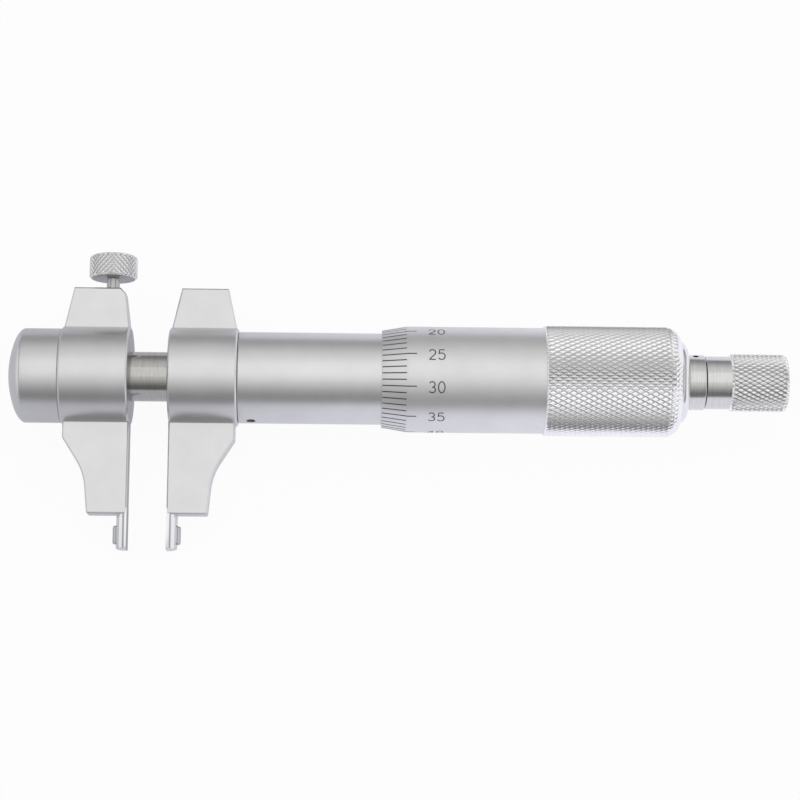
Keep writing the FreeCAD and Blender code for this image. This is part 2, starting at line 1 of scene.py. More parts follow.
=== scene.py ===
"""Looks of a caliper-jaw inside micrometer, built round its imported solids.

All sizes are in millimetres of the instrument's own frame: X runs along the spindle from
the seam between end cap and moving jaw, the measuring tips point to -Y, and +Z is the side
that the photograph shows. Every piece is rolled about X and scaled to metres when it is placed.
"""

import enum
import logging
import math
from contextlib import contextmanager
from dataclasses import dataclass, field, replace
from functools import cache
from typing import Callable, Iterable, Iterator, Sequence

import bmesh
import bpy
import numpy as np
from bpy.types import ID, Material, Mesh, Node, NodeSocket, Object, World
from mathutils import Matrix, Vector


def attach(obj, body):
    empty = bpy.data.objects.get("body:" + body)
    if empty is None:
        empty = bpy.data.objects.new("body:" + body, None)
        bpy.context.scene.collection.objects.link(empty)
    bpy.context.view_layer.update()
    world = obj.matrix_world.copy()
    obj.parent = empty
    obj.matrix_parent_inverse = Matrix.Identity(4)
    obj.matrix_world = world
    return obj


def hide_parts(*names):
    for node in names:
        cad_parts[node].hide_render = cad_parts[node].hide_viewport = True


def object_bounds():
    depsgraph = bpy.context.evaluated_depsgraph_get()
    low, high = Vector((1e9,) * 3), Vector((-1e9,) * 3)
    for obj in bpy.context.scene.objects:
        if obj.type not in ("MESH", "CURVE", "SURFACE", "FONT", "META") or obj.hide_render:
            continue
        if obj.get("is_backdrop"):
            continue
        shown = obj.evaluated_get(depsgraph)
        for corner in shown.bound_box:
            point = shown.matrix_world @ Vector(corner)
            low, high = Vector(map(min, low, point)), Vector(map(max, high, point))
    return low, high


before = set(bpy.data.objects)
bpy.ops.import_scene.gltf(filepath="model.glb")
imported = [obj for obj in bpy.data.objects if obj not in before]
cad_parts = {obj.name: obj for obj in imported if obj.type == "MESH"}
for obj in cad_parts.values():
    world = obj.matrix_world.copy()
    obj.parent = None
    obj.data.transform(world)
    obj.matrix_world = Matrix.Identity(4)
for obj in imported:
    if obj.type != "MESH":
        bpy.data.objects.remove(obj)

LOG = logging.getLogger("inside_micrometer")
MM = 0.001
FULL_TURN = 2 * math.pi
WHITE = (1.0, 1.0, 1.0)

Point = tuple[float, float]
Triple = tuple[float, float, float]
Colour = Triple
Shade = tuple[float, float, float, float]
Stops = Sequence[Point]
Faces = list[tuple[int, ...]]
Finisher = Callable[[Vector], int]


class Body(enum.Enum):
    """The moving groups of the instrument."""

    FRAME = "frame"
    SLEEVE = "sleeve"
    MOVING_JAW = "moving_jaw"
    SPINDLE = "spindle"
    RATCHET_KNOB = "ratchet_knob"
    LOCK_SCREW = "lock_screw"


class Slot(enum.Enum):
    """The record's material slots."""

    SATIN_CHROME = "satin_chrome"
    KNURLED_CHROME = "knurled_chrome"
    GROUND_STEEL = "ground_steel"
    STEEL = "steel"
    CARBIDE = "carbide"
    BRASS = "brass"


class Join(enum.Enum):
    """Ways to combine one solid with another."""

    ADD = "UNION"
    CUT = "DIFFERENCE"


# ---- How the instrument lies ----


@dataclass(frozen=True)
class Stations:
    """Stations along X and the radii that several pieces share."""

    reading: float = 11.42
    min_reading: float = 5.0
    max_reading: float = 30.0
    closed_gap: float = 0.2
    hub_length: float = 11.6
    hub_radius: float = 8.4
    scale_setback: float = 5.7
    tip_drop: float = 29.5
    tip_radius: float = 1.95
    tip_bevel: float = 0.35
    knurl_radius: float = 9.4
    guide_radius: float = 4.2
    sleeve_radius: float = 7.75
    lock_setback: float = 3.4
    lock_bore: float = 1.3

    @property
    def lock_station(self) -> float:
        """Axis of the lock screw."""
        return self.hub_length - self.lock_setback

    @property
    def fixed_face(self) -> float:
        """Inner face of the fixed jaw."""
        return self.hub_length + self.reading - self.min_reading + self.closed_gap

    @property
    def fixed_back(self) -> float:
        """Outer face of the fixed jaw's hub."""
        return self.fixed_face + self.hub_length

    @property
    def thimble_edge(self) -> float:
        """Graduated edge of the thimble."""
        return self.fixed_back + self.scale_setback + self.max_reading - self.reading

    @property
    def roll(self) -> float:
        """Roll about X, in radians, at which knurl and tips both touch the table.

        Returns:
            The roll, which is the smaller of those that the bevelled tip allows.
        """
        rolls = []
        for drop, out in (
            (self.tip_drop - self.tip_bevel, self.tip_radius),
            (self.tip_drop, self.tip_radius - self.tip_bevel),
        ):
            rolls.append(math.asin(self.knurl_radius / math.hypot(drop, out)) - math.atan2(out, drop))
        return min(rolls)

    @property
    def lay(self) -> Matrix:
        """Places instrument millimetres in the row frame's metres."""
        return Matrix.Scale(MM, 4) @ Matrix.Rotation(self.roll, 4, "X")


ST = Stations()


# ---- Finishes ----


class NodeSheet:
    """Node tree of a material or the world, with short calls for the nodes this scene uses."""

    NOISE_MIDDLE = (0.3, 0.7)
    NOISE_ROUGHNESS = 0.6

    def __init__(self, owner: Material | World) -> None:
        """Empties the owner's tree and gives it an output.

        Args:
            owner: the material or world whose nodes these are.
        """
        self.owner = owner
        owner.use_nodes = True
        self.tree = owner.node_tree
        self.tree.nodes.clear()
        kind = "World" if isinstance(owner, World) else "Material"
        self.output = self.tree.nodes.new(f"ShaderNodeOutput{kind}")

    def add(self, kind: str, settings: dict | None = None, **sockets: object) -> Node:
        """Adds a node.

        Args:
            kind: Blender's name of the node type, without ShaderNode.
            settings: attributes of the node itself.
            sockets: input values or links, by socket name with underscores for spaces.

        Returns:
            The new node.
        """
        node = self.tree.nodes.new(f"ShaderNode{kind}")
        for key, value in (settings or {}).items():
            setattr(node, key, value)
        for key, value in sockets.items():
            socket = self.socket(node, key)
            if isinstance(value, NodeSocket):
                self.tree.links.new(value, socket)
            else:
                socket.default_value = value
        return node

    def socket(self, node: Node, key: str) -> NodeSocket:
        """The input named key, or the input with that number where key is i0, i1 and so on.

        Args:
            node: the node.
            key: the socket's name, with underscores for spaces, or i and its number.

        Returns:
            The input.
        """
        if key[0] == "i" and key[1:].isdigit():
            return node.inputs[int(key[1:])]
        return node.inputs[key.replace("_", " ")]

    def math(self, operation: str, a: object, b: object = 0.0) -> NodeSocket:
        """Result of one arithmetic step on a and b."""
        return self.add("Math", {"operation": operation}, i0=a, i1=b).outputs[0]

    def place(self, grain: Triple) -> NodeSocket:
        """Position on the piece in instrument millimetres, divided by a grain size per axis.

        Args:
            grain: grain size along each axis, in millimetres.

        Returns:
            The output socket.
        """
        seat = self.add("TexCoord").outputs["Object"]
        laid = self.add("Mapping", Vector=seat, Rotation=(-ST.roll, 0.0, 0.0))
        sizes = tuple(1.0 / (MM * size) for size in grain)
        return self.add("Mapping", Vector=laid.outputs[0], Scale=sizes).outputs[0]

    def noise(self, grain: Triple, detail: float = 3.0) -> NodeSocket:
        """Noise from 0 to 1 whose features are about grain millimetres long on each axis."""
        return self.add("TexNoise", Vector=self.place(grain), Scale=1.0, Detail=detail,
                        Roughness=self.NOISE_ROUGHNESS).outputs["Fac"]

    def remap(self, value: NodeSocket, source: Point, target: Point) -> NodeSocket:
        """Carries a value from one range to another and holds it inside."""
        return self.add("MapRange", i0=value, i1=source[0], i2=source[1], i3=target[0],
                        i4=target[1]).outputs[0]

    def spread(self, value: NodeSocket, low: float, high: float) -> NodeSocket:
        """Stretches the middle of a noise value over low to high."""
        return self.remap(value, self.NOISE_MIDDLE, (low, high))

    def blend(self, share: object, a: object, b: object) -> NodeSocket:
        """Colour a where share is 0 and colour b where it is 1."""
        return self.add("Mix", {"data_type": "RGBA"}, i0=share, i6=a, i7=b).outputs[2]

    def mixed(self, share: object, a: Node, b: Node) -> Node:
        """Shader a where share is 0 and shader b where it is 1."""
        return self.add("MixShader", i0=share, i1=a.outputs[0], i2=b.outputs[0])

    def ramp(self, share: NodeSocket, stops: Stops) -> NodeSocket:
        """Grey level at a share from 0 to 1, between the given (place, level) stops.

        Args:
            share: where on the ramp to look.
            stops: the ramp, from 0 to 1.

        Returns:
            The output socket.
        """
        node = self.add("ValToRGB", i0=share)
        elements = node.color_ramp.elements
        for index, (place, level) in enumerate(stops):
            element = elements[index] if index < 2 else elements.new(place)
            element.position = place
            element.color = rgba((level, level, level))
        return node.outputs[0]

    def rays(self, *kinds: str) -> NodeSocket:
        """1 for a ray of any of the given kinds, else 0.

        Args:
            kinds: kinds of ray, as Blender names them.

        Returns:
            The output socket.
        """
        paths = self.add("LightPath").outputs
        share = paths[f"Is {kinds[0]} Ray"]
        for kind in kinds[1:]:
            share = self.math("MAXIMUM", share, paths[f"Is {kind} Ray"])
        return share

    def close(self, shader: Node) -> Material | World:
        """Links the shader to the output and returns the tree's owner."""
        self.tree.links.new(shader.outputs[0], self.output.inputs["Surface"])
        return self.owner


def rgba(colour: Colour) -> Shade:
    """The colour with full opacity."""
    return (*colour, 1.0)


COARSE_DETAIL = 2.0
FINE_DETAIL = 4.0
SPECK_SIZE = 0.35
SPECK_EDGE = (0.66, 0.76)
SPECK_SHADE = 0.45
MARK_SHADE = 0.72
# painted shade: how far up the knurl's relief the grooves are darkened, and how dark they get
PAINTED_SHADE_REACH = 0.4
PAINTED_GROOVE_SHADE = 0.25


@dataclass(frozen=True)
class MetalFinish:
    """A metal surface: its grain, its marks from turning or grinding, its drift, and painted shade in its grooves.
    """

    name: str
    colour: Colour
    roughness: float
    roughness_drift: float = 0.05
    shade: float = 0.93
    drift_size: float = 4.0
    grain: Triple = (0.12, 0.12, 0.12)
    grain_height: float = 0.0006
    marks: Triple = (0.0, 0.0, 0.0)
    marks_height: float = 0.0
    marks_share: float = 0.3
    # share of painted shade in the knurl's grooves
    groove_shade: float = 0.0
    specks: float = 0.0

    def shaded(self, share: float) -> Shade:
        """The finish's colour darkened to a share of itself."""
        return rgba(tuple(c * share for c in self.colour))

    @cache
    def material(self) -> Material:
        """Builds the finish as a procedural material.

        Returns:
            The material, made once per finish.
        """
        sheet = NodeSheet(bpy.data.materials.new(self.name))
        grain = sheet.noise(self.grain)
        drift = sheet.noise((self.drift_size,) * 3, COARSE_DETAIL)
        colour = sheet.blend(sheet.spread(drift, 0.0, 1.0), self.shaded(self.shade), self.shaded(1.0))
        fine = self.shaded(1 - (1 - self.shade) / 2)
        colour = sheet.blend(sheet.math("MULTIPLY", grain, 0.5), colour, fine)
        if self.specks:
            spots = sheet.noise((SPECK_SIZE,) * 3, FINE_DETAIL)
            mask = sheet.remap(spots, SPECK_EDGE, (0.0, self.specks))
            colour = sheet.blend(mask, colour, self.shaded(SPECK_SHADE))
        height = sheet.math("MULTIPLY", grain, self.grain_height)
        swing = self.roughness_drift
        rough = sheet.spread(grain, self.roughness - swing, self.roughness + swing)
        if self.marks_height:
            lines = sheet.noise(self.marks, FINE_DETAIL)
            height = sheet.math("ADD", height, sheet.math("MULTIPLY", lines, self.marks_height))
            rough = sheet.math("ADD", rough, sheet.spread(lines, -swing, swing))
            share = sheet.math("MULTIPLY", sheet.spread(lines, 1.0, 0.0), self.marks_share)
            colour = sheet.blend(share, colour, self.shaded(MARK_SHADE))
        # painted shade: the knurl's grooves are darkened by their depth, standing in for the shade that falls in
        # them
        if self.groove_shade:
            relief = sheet.add("Attribute", {"attribute_name": "relief"}).outputs["Fac"]
            depth = sheet.remap(relief, (0.0, PAINTED_SHADE_REACH), (self.groove_shade, 0.0))
            colour = sheet.blend(depth, colour, self.shaded(PAINTED_GROOVE_SHADE))
        bump = sheet.add("Bump", Strength=1.0, Distance=MM, Height=height)
        surface = sheet.add("BsdfPrincipled", Base_Color=colour, Metallic=1.0,
                            Roughness=rough, Normal=bump.outputs[0])
        return sheet.close(surface)


@dataclass(frozen=True)
class PaintFinish:
    """Dull paint that fills engraved lines and figures."""

    name: str
    colour: Colour
    roughness: float = 0.55
    wear_size: float = 0.25
    wear_share: float = 0.6
    wear_gain: float = 2.2
    wear_lift: float = 0.03
    bump: float = 0.4
    bump_height: float = 0.01

    @cache
    def material(self) -> Material:
        """Builds the paint, a little uneven as it sits in the cuts.

        Returns:
            The material, made once per finish.
        """
        sheet = NodeSheet(bpy.data.materials.new(self.name))
        wear = sheet.noise((self.wear_size,) * 3, FINE_DETAIL)
        worn = tuple(min(1.0, c * self.wear_gain + self.wear_lift) for c in self.colour)
        share = sheet.math("MULTIPLY", sheet.spread(wear, 0.0, 1.0), self.wear_share)
        colour = sheet.blend(share, rgba(self.colour), rgba(worn))
        bump = sheet.add("Bump", Strength=self.bump, Distance=self.bump_height * MM, Height=wear)
        surface = sheet.add("BsdfPrincipled", Base_Color=colour, Roughness=self.roughness,
                            Normal=bump.outputs[0])
        return sheet.close(surface)


SATIN = MetalFinish("satin_chrome_finish", (0.75, 0.75, 0.755), 0.34, drift_size=5.0, specks=0.1)
SATIN_TURNED = MetalFinish("satin_turned_finish", (0.80, 0.80, 0.805), 0.36, drift_size=5.0,
                           marks=(0.14, 6.0, 6.0), marks_height=0.0002, specks=0.1, marks_share=0.12)
SATIN_THIMBLE = replace(SATIN_TURNED, name="satin_thimble_finish", colour=(0.82, 0.82, 0.825), roughness=0.43)
# the knurl finishes carry painted shade in their grooves
KNURLED = MetalFinish("knurled_chrome_finish", (0.97, 0.97, 0.975), 0.20, roughness_drift=0.04,
                      groove_shade=0.42)
KNURLED_GRIP = replace(KNURLED, name="knurled_grip_finish", roughness=0.15, groove_shade=0.92)
GROUND = MetalFinish("ground_steel_finish", (0.58, 0.57, 0.55), 0.13, roughness_drift=0.05,
                     marks=(0.17, 2.5, 2.5), marks_height=0.0025, marks_share=0.7)
BRIGHT = MetalFinish("bright_chrome_finish", (0.87, 0.87, 0.88), 0.12, roughness_drift=0.03,
                     grain_height=0.0002)
# painted shade: a darker copy of the metal for the hub faces between the jaws and the lock knob's underside, where
# shade falls
PAINTED_SHADE_FACE = MetalFinish("painted_shade_face_finish", (0.37, 0.37, 0.39), 0.3)
TURNED = MetalFinish("turned_steel_finish", (0.76, 0.755, 0.75), 0.2, marks=(0.16, 3.0, 3.0),
                     marks_height=0.003, marks_share=0.65)
STEEL = MetalFinish("plain_steel_finish", (0.56, 0.555, 0.55), 0.3, marks=(0.12, 3.0, 3.0),
                    marks_height=0.001)
CARBIDE = MetalFinish("hard_metal_finish", (0.58, 0.585, 0.6), 0.24, grain=(0.05, 0.05, 0.05))
BRASS = MetalFinish("brass_finish", (0.78, 0.60, 0.32), 0.28, marks=(0.12, 3.0, 3.0),
                    marks_height=0.001)
ENGRAVING = PaintFinish("engraving_paint", (0.035, 0.035, 0.036))


# ---- Shells in instrument millimetres ----


TOUCH = 1e-6
DOUBLES = 2e-4
SLIVERS = 1e-4
FLAT_TURN = math.radians(0.15)
PLANE_TURN = math.radians(3.0)
FACE_TOLERANCE = 0.02
OVERRUN = 1.0
SHARPEST_DRAW = 0.3
BEVEL_PROFILE = ((1.15, 0.0), (0.86, 0.03), (0.5, 0.5), (0.03, 0.86), (0.0, 1.15))


@contextmanager
def drafted(mesh: Mesh) -> Iterator[bmesh.types.BMesh]:
    """Opens a mesh for editing and writes it back.

    Args:
        mesh: the mesh to edit.

    Returns:
        The mesh's editable draft, for use in a with statement.
    """
    draft = bmesh.new()
    draft.from_mesh(mesh)
    yield draft
    draft.to_mesh(mesh)
    draft.free()


def added(name: str, data: ID) -> Object:
    """Adds an object to the scene.

    Args:
        name: name of the object.
        data: its mesh, lamp or camera.

    Returns:
        The new object.
    """
    made = bpy.data.objects.new(name, data)
    bpy.context.scene.collection.objects.link(made)
    return made


def shares(steps: int) -> list[float]:
    """Even shares of a whole, up to 1."""
    return [k / steps for k in range(1, steps + 1)]


@dataclass
class Shell:
    """Points and faces of one shell, with the height of its knurl at each point."""

    points: np.ndarray
    faces: Faces
    relief: np.ndarray | None = None

    def moved(self, matrix: Matrix) -> "Shell":
        """The same shell under a placement; mirrored shells get their faces turned round.

        Args:
            matrix: the placement.

        Returns:
            The moved shell.
        """
        spin = np.array(matrix.to_3x3())
        points = self.points @ spin.T + np.array(matrix.translation)
        mirrored = np.linalg.det(spin) < 0
        faces = [face[::-1] for face in self.faces] if mirrored else list(self.faces)
        return Shell(points, faces, self.relief)

    def mesh(self, name: str) -> Mesh:
        """Writes the shell to a mesh with outward normals.

        Args:
            name: name of the mesh.

        Returns:
            The mesh, with its relief as an attribute if it has one.
        """
        mesh = bpy.data.meshes.new(name)
        mesh.from_pydata(self.points.tolist(), [], self.faces)
        if self.relief is not None:
            layer = mesh.attributes.new("relief", "FLOAT", "POINT")
            layer.data.foreach_set("value", self.relief.astype(np.float32))
        with drafted(mesh) as draft:
            bmesh.ops.recalc_face_normals(draft, faces=draft.faces)
        return mesh


def gathered(shells: Sequence[Shell]) -> Shell:
    """Several shells as one.

    Args:
        shells: the shells, which stay separate islands.

    Returns:
        The gathered shell.
    """
    points, faces, start = [], [], 0
    for shell in shells:
        points.append(shell.points)
        faces += [tuple(i + start for i in face) for face in shell.faces]
        start += len(shell.points)
    return Shell(np.vstack(points), faces)


def softened(corners: Sequence[Triple], steps: int = 4) -> list[Point]:
    """Rounds the corners of a closed outline.

    Args:
        corners: (station, radius, rounding) of each corner in order.
        steps: points on each rounding, less one.

    Returns:
        The outline's points with an arc at each corner whose rounding is above zero.
    """
    outline: list[Point] = []
    count = len(corners)
    for index, (x, r, rounding) in enumerate(corners):
        here = Vector((x, r))
        if rounding <= 0:
            outline.append((x, r))
            continue
        before = (Vector(corners[index - 1][:2]) - here).normalized()
        after = (Vector(corners[(index + 1) % count][:2]) - here).normalized()
        half = before.angle(after) / 2
        reach = rounding / math.tan(half)
        centre = here + (before + after).normalized() * (rounding / math.sin(half))
        start = here + before * reach - centre
        end = here + after * reach - centre
        swing = math.atan2(start.x * end.y - start.y * end.x, start.dot(end))
        for step in range(steps + 1):
            turn = swing * step / steps
            outline.append((
                centre.x + start.x * math.cos(turn) - start.y * math.sin(turn),
                centre.y + start.x * math.sin(turn) + start.y * math.cos(turn),
            ))
    return outline


def turned(outline: Sequence[Point], segments: int = 192) -> Shell:
    """Closed solid turned about X from a closed outline of (station, radius) points.

    Args:
        outline: the outline; points on the axis become poles.
        segments: sides of the round.

    Returns:
        The turned shell.
    """
    angles = np.arange(segments) * FULL_TURN / segments
    points: list[np.ndarray] = []
    rows: list[list[int]] = []
    for x, r in outline:
        start = sum(len(p) for p in points)
        if r < TOUCH:
            points.append(np.array([[x, 0.0, 0.0]]))
            rows.append([start])
        else:
            points.append(np.column_stack([np.full(segments, x), r * np.sin(angles), r * np.cos(angles)]))
            rows.append(list(range(start, start + segments)))
    faces: Faces = []
    for near, far in zip(rows, rows[1:] + rows[:1]):
        if len(near) == 1 and len(far) == 1:
            continue
        for i in range(segments):
            k = (i + 1) % segments
            if len(near) == 1:
                faces.append((near[0], far[k], far[i]))
            elif len(far) == 1:
                faces.append((near[i], near[k], far[0]))
            else:
                faces.append((near[i], near[k], far[k], far[i]))
    return Shell(np.vstack(points), faces)


def pipe(start: float, end: float, bore: float, radius: float, soft: Point = (0.0, 0.0),
         segments: int = 192, steps: int = 4) -> Shell:
    """Tube along X, or a round bar where the bore is 0.

    Args:
        start: station of its first end.
        end: station of its other end.
        bore: inner radius.
        radius: outer radius.
        soft: rounding of the outer edge at start and at end.
        segments: sides of the round.
        steps: points on each rounding, less one.

    Returns:
        The tube's shell.
    """
    return turned(softened([
        (start, bore, 0.0), (start, radius, soft[0]), (end, radius, soft[1]), (end, bore, 0.0),
    ], steps), segments)


def bar(x0: float, x1: float, radius: float, segments: int = 128) -> Shell:
    """Round bar on the X axis, used as a tool for bores."""
    return pipe(x0, x1, 0.0, radius, segments=segments)


def upright(station: float, y0: float, y1: float, radius: float, segments: int = 96) -> Shell:
    """Round bar along Y at a station of the instrument."""
    return bar(y0, y1, radius, segments).moved(along_y(station))


def along_y(station: float) -> Matrix:
    """Turns a piece made along X so that it stands along Y at a station."""
    return Matrix.Translation((station, 0, 0)) @ Matrix(((0, 0, 1, 0), (1, 0, 0, 0), (0, 1, 0, 0), (0, 0, 0, 1)))


def out_from_axis(station: float, angle: float) -> Matrix:
    """Turns a piece made along X so that it points out of the axis at an angle from +Z to +Y.

    Args:
        station: where the piece stands along X.
        angle: its angle in degrees.

    Returns:
        The placement.
    """
    turn = math.radians(angle)
    out = Vector((0, math.sin(turn), math.cos(turn)))
    side = Vector((1, 0, 0))
    third = out.cross(side)
    return Matrix.Translation((station, 0, 0)) @ Matrix((
        (out.x, side.x, third.x, 0), (out.y, side.y, third.y, 0), (out.z, side.z, third.z, 0), (0, 0, 0, 1)))


def layered(rows: Sequence[Sequence[Triple]]) -> Shell:
    """Closed shell through rows of equal length, capped at both ends.

    Args:
        rows: the rows of points, from one cap to the other.

    Returns:
        The shell.
    """
    count = len(rows[0])
    points = np.array([p for row in rows for p in row], float)
    faces: Faces = [tuple(range(count))[::-1]]
    for level in range(len(rows) - 1):
        a, b = level * count, (level + 1) * count
        for i in range(count):
            k = (i + 1) % count
            faces.append((a + i, a + k, b + k, b + i))
    last = (len(rows) - 1) * count
    faces.append(tuple(range(last, last + count)))
    return Shell(points, faces)


def drawn_in(outline: Sequence[Point], distance: float) -> list[Point]:
    """The outline moved inwards by a distance, corner by corner; it runs anticlockwise.

    Args:
        outline: the closed outline.
        distance: how far each side moves.

    Returns:
        The smaller outline, corner for corner.
    """
    moved = []
    count = len(outline)
    for i, point in enumerate(outline):
        here = Vector(point)
        a = (here - Vector(outline[i - 1])).normalized()
        b = (Vector(outline[(i + 1) % count]) - here).normalized()
        normal_a, normal_b = Vector((-a.y, a.x)), Vector((-b.y, b.x))
        middle = (normal_a + normal_b).normalized()
        moved.append(tuple(here + middle * (distance / max(SHARPEST_DRAW, middle.dot(normal_a)))))
    return moved


def bevel_steps(bevel: float) -> list[Point]:
    """Steps (drawn in, below the face) of an edge bevel with softened corners."""
    return [(inset * bevel, below * bevel) for inset, below in BEVEL_PROFILE]


def joined(base: Shell, tools: Sequence[tuple[Join, Shell]], name: str) -> Mesh:
    """Combines a shell with others in order.

    Args:
        base: the shell that the others are added to or cut from.
        tools: each way of joining with its shell.
        name: name of the mesh.

    Returns:
        The combined mesh, cleaned of doubled points and slivers.
    """
    body = added(f"{name}_blank", base.mesh(f"{name}_blank"))
    spare = [body]
    for index, (way, shell) in enumerate(tools):
        label = f"{name}_tool_{index}"
        spare.append(added(label, shell.mesh(label)))
        step = body.modifiers.new("join", "BOOLEAN")
        step.operation, step.solver, step.object = way.value, "MANIFOLD", spare[-1]
    bpy.context.view_layer.update()
    graph = bpy.context.evaluated_depsgraph_get()
    mesh = bpy.data.meshes.new_from_object(body.evaluated_get(graph))
    mesh.name = name
    for item in spare:
        data = item.data
        bpy.data.objects.remove(item)
        bpy.data.meshes.remove(data)
    with drafted(mesh) as draft:
        bmesh.ops.remove_doubles(draft, verts=draft.verts, dist=DOUBLES)
        bmesh.ops.dissolve_degenerate(draft, dist=SLIVERS, edges=draft.edges)
        bmesh.ops.dissolve_limit(draft, angle_limit=FLAT_TURN, verts=draft.verts, edges=draft.edges)
    return mesh


def keep_planes(mesh: Mesh, area: float) -> None:
    """Sharpens the rim of every large face, so that it shades as a plane.

    Args:
        mesh: the mesh in the row frame.
        area: area from which a face counts as a plane.
    """
    with drafted(mesh) as draft:
        for face in draft.faces:
            if face.calc_area() < area:
                continue
            for edge in face.edges:
                if edge.is_manifold and edge.calc_face_angle(0.0) > PLANE_TURN:
                    edge.smooth = False


@dataclass(frozen=True)
class Piece:
    """What a finished mesh needs to become a piece of the instrument."""

    name: str
    body: Body
    slot: Slot
    finishes: tuple[MetalFinish | PaintFinish, ...]
    stands_for: tuple[str, ...] = ()
    crease: float = 27.0
    plane_area: float = 0.0

    def put(self, source: Shell | Mesh, choose: Finisher | None = None) -> Object:
        """Lays the mesh in the row frame and lets it ride on its body.

        Args:
            source: the shell or mesh in instrument millimetres.
            choose: gives a face's finish number from its centre, where there are several.

        Returns:
            The placed object.
        """
        mesh = source.mesh(self.name) if isinstance(source, Shell) else source
        mesh.materials.clear()
        for finish in self.finishes:
            mesh.materials.append(finish.material())
        for polygon in mesh.polygons:
            polygon.material_index = choose(polygon.center) if choose else 0
        mesh.transform(ST.lay)
        mesh.shade_smooth()
        mesh.set_sharp_from_angle(angle=math.radians(self.crease))
        if self.plane_area:
            keep_planes(mesh, self.plane_area * MM ** 2)
        placed = added(self.name, mesh)
        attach(placed, self.body.value)
        if self.stands_for:
            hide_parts(*self.stands_for)
        return placed


# ---- Knurls ----


CREST_CLEARANCE = 0.004
NORMAL_REACH = 0.15
KNURL_CREASE = 20.0


@dataclass(frozen=True)
class Knurl:
    """A diamond knurl made of two crossing sets of V grooves."""

    starts: int
    pitch: float
    depth: float
    flat: float
    samples: int = 6

    @property
    def segments(self) -> int:
        """Sides of the round that the knurl is cut in."""
        return self.starts * self.samples

    @property
    def step(self) -> float:
        """Distance between two rings of points."""
        return self.pitch / self.samples

    def height(self, around: np.ndarray, along: int) -> np.ndarray:
        """Height of the knurl from 0 in a groove to 1 on a crest, at a ring of points.

        Args:
            around: numbers of the ring's points.
            along: number of the ring.

        Returns:
            The height at each point.
        """
        first = (around + along) / self.samples
        second = (around - along) / self.samples
        near = np.minimum(np.abs(first - np.round(first)), np.abs(second - np.round(second)))
        return np.minimum(near, self.flat) / self.flat


@dataclass(frozen=True)
class Fade:
    """How a knurl runs out towards one of its ends."""

    reach: float
    floor: float = 0.0
    power: float = 1.0

    def share(self, distance: float) -> float:
        """Share of the full depth at a distance from that end."""
        return min(1.0, max(0.0, distance / self.reach + self.floor)) ** self.power


@dataclass(frozen=True)
class Ring:
    """One ring of a knurled turning: where it is, which way is out, and how deep the knurl is."""

    x: float
    r: float
    out: Point = (0.0, 1.0)
    depth: float = 0.0
    row: int = 0


def knurled(rings: Sequence[Ring], knurl: Knurl) -> Shell:
    """Closed turned shell whose knurled rings are pressed in by the knurl.

    Args:
        rings: the closed outline, ring by ring.
        knurl: the knurl cut in the rings that have a depth.

    Returns:
        The shell, with its quads split along the grooves and its relief noted.
    """
    count = knurl.segments
    index = np.arange(count)
    angles = index * FULL_TURN / count
    points, relief = [], []
    for ring in rings:
        height = knurl.height(index, ring.row) if ring.depth else np.ones(count)
        drop = ring.depth * (1 - height)
        r = ring.r - drop * ring.out[1]
        x = ring.x - drop * ring.out[0]
        points.append(np.column_stack([x, r * np.sin(angles), r * np.cos(angles)]))
        relief.append(np.where(drop > 0, 1 - (1 - height) * ring.depth / knurl.depth, 1.0))
    faces: Faces = []
    total = len(rings)
    for level in range(total):
        near, far = level * count, ((level + 1) % total) * count
        cut = rings[level].depth or rings[(level + 1) % total].depth
        row = rings[level].row
        for i in range(count):
            k = (i + 1) % count
            a, b, c, d = near + i, near + k, far + k, far + i
            if cut and (i - row) % knurl.samples == 0:
                faces += [(a, b, c), (a, c, d)]
            elif cut and (i + 1 + row) % knurl.samples == 0:
                faces += [(a, b, d), (b, c, d)]
            else:
                faces.append((a, b, c, d))
    return Shell(np.vstack(points), faces, np.concatenate(relief))


def knurled_run(path: Sequence[Point], knurl: Knurl, start: Fade, end: Fade) -> list[Ring]:
    """Rings evenly spaced along a path of (station, radius) points.

    Args:
        path: the crest line of the knurl.
        knurl: gives the spacing of the rings and their depth.
        start: how the knurl fades at the start of the path.
        end: how it fades at the end.

    Returns:
        The rings, ending at the path's end.
    """
    nodes = np.array(path, float)
    lengths = np.concatenate([[0.0], np.cumsum(np.hypot(*np.diff(nodes, axis=0).T))])
    steps = max(2, round(lengths[-1] / knurl.step))

    def at(s: float) -> np.ndarray:
        """Point of the path at a distance along it."""
        return np.array([np.interp(s, lengths, nodes[:, axis]) for axis in (0, 1)])

    rings = []
    for row in range(steps + 1):
        s = lengths[-1] * row / steps
        x, r = at(s)
        dx, dr = at(min(s + NORMAL_REACH, lengths[-1])) - at(max(s - NORMAL_REACH, 0.0))
        size = math.hypot(dx, dr)
        depth = knurl.depth * start.share(s) * end.share(lengths[-1] - s)
        rings.append(Ring(float(x), float(r), (-dr / size, dx / size), depth, row))
    return rings


def plain_rings(outline: Iterable[Point]) -> list[Ring]:
    """Rings without a knurl."""
    return [Ring(x, r) for x, r in outline]


# ---- Engraved lines and figures ----


def curl(centre: Point, size: Point, start: float, end: float, steps: int) -> list[Point]:
    """Points on part of an ellipse, from one angle to another in degrees.

    Args:
        centre: centre of the ellipse.
        size: its two half axes.
        start: angle of the first point.
        end: angle of the last point.
        steps: number of equal steps between them.

    Returns:
        The points.
    """
    points = []
    for i in range(steps + 1):
        turn = math.radians(start + (end - start) * i / steps)
        points.append((centre[0] + size[0] * math.cos(turn), centre[1] + size[1] * math.sin(turn)))
    return points


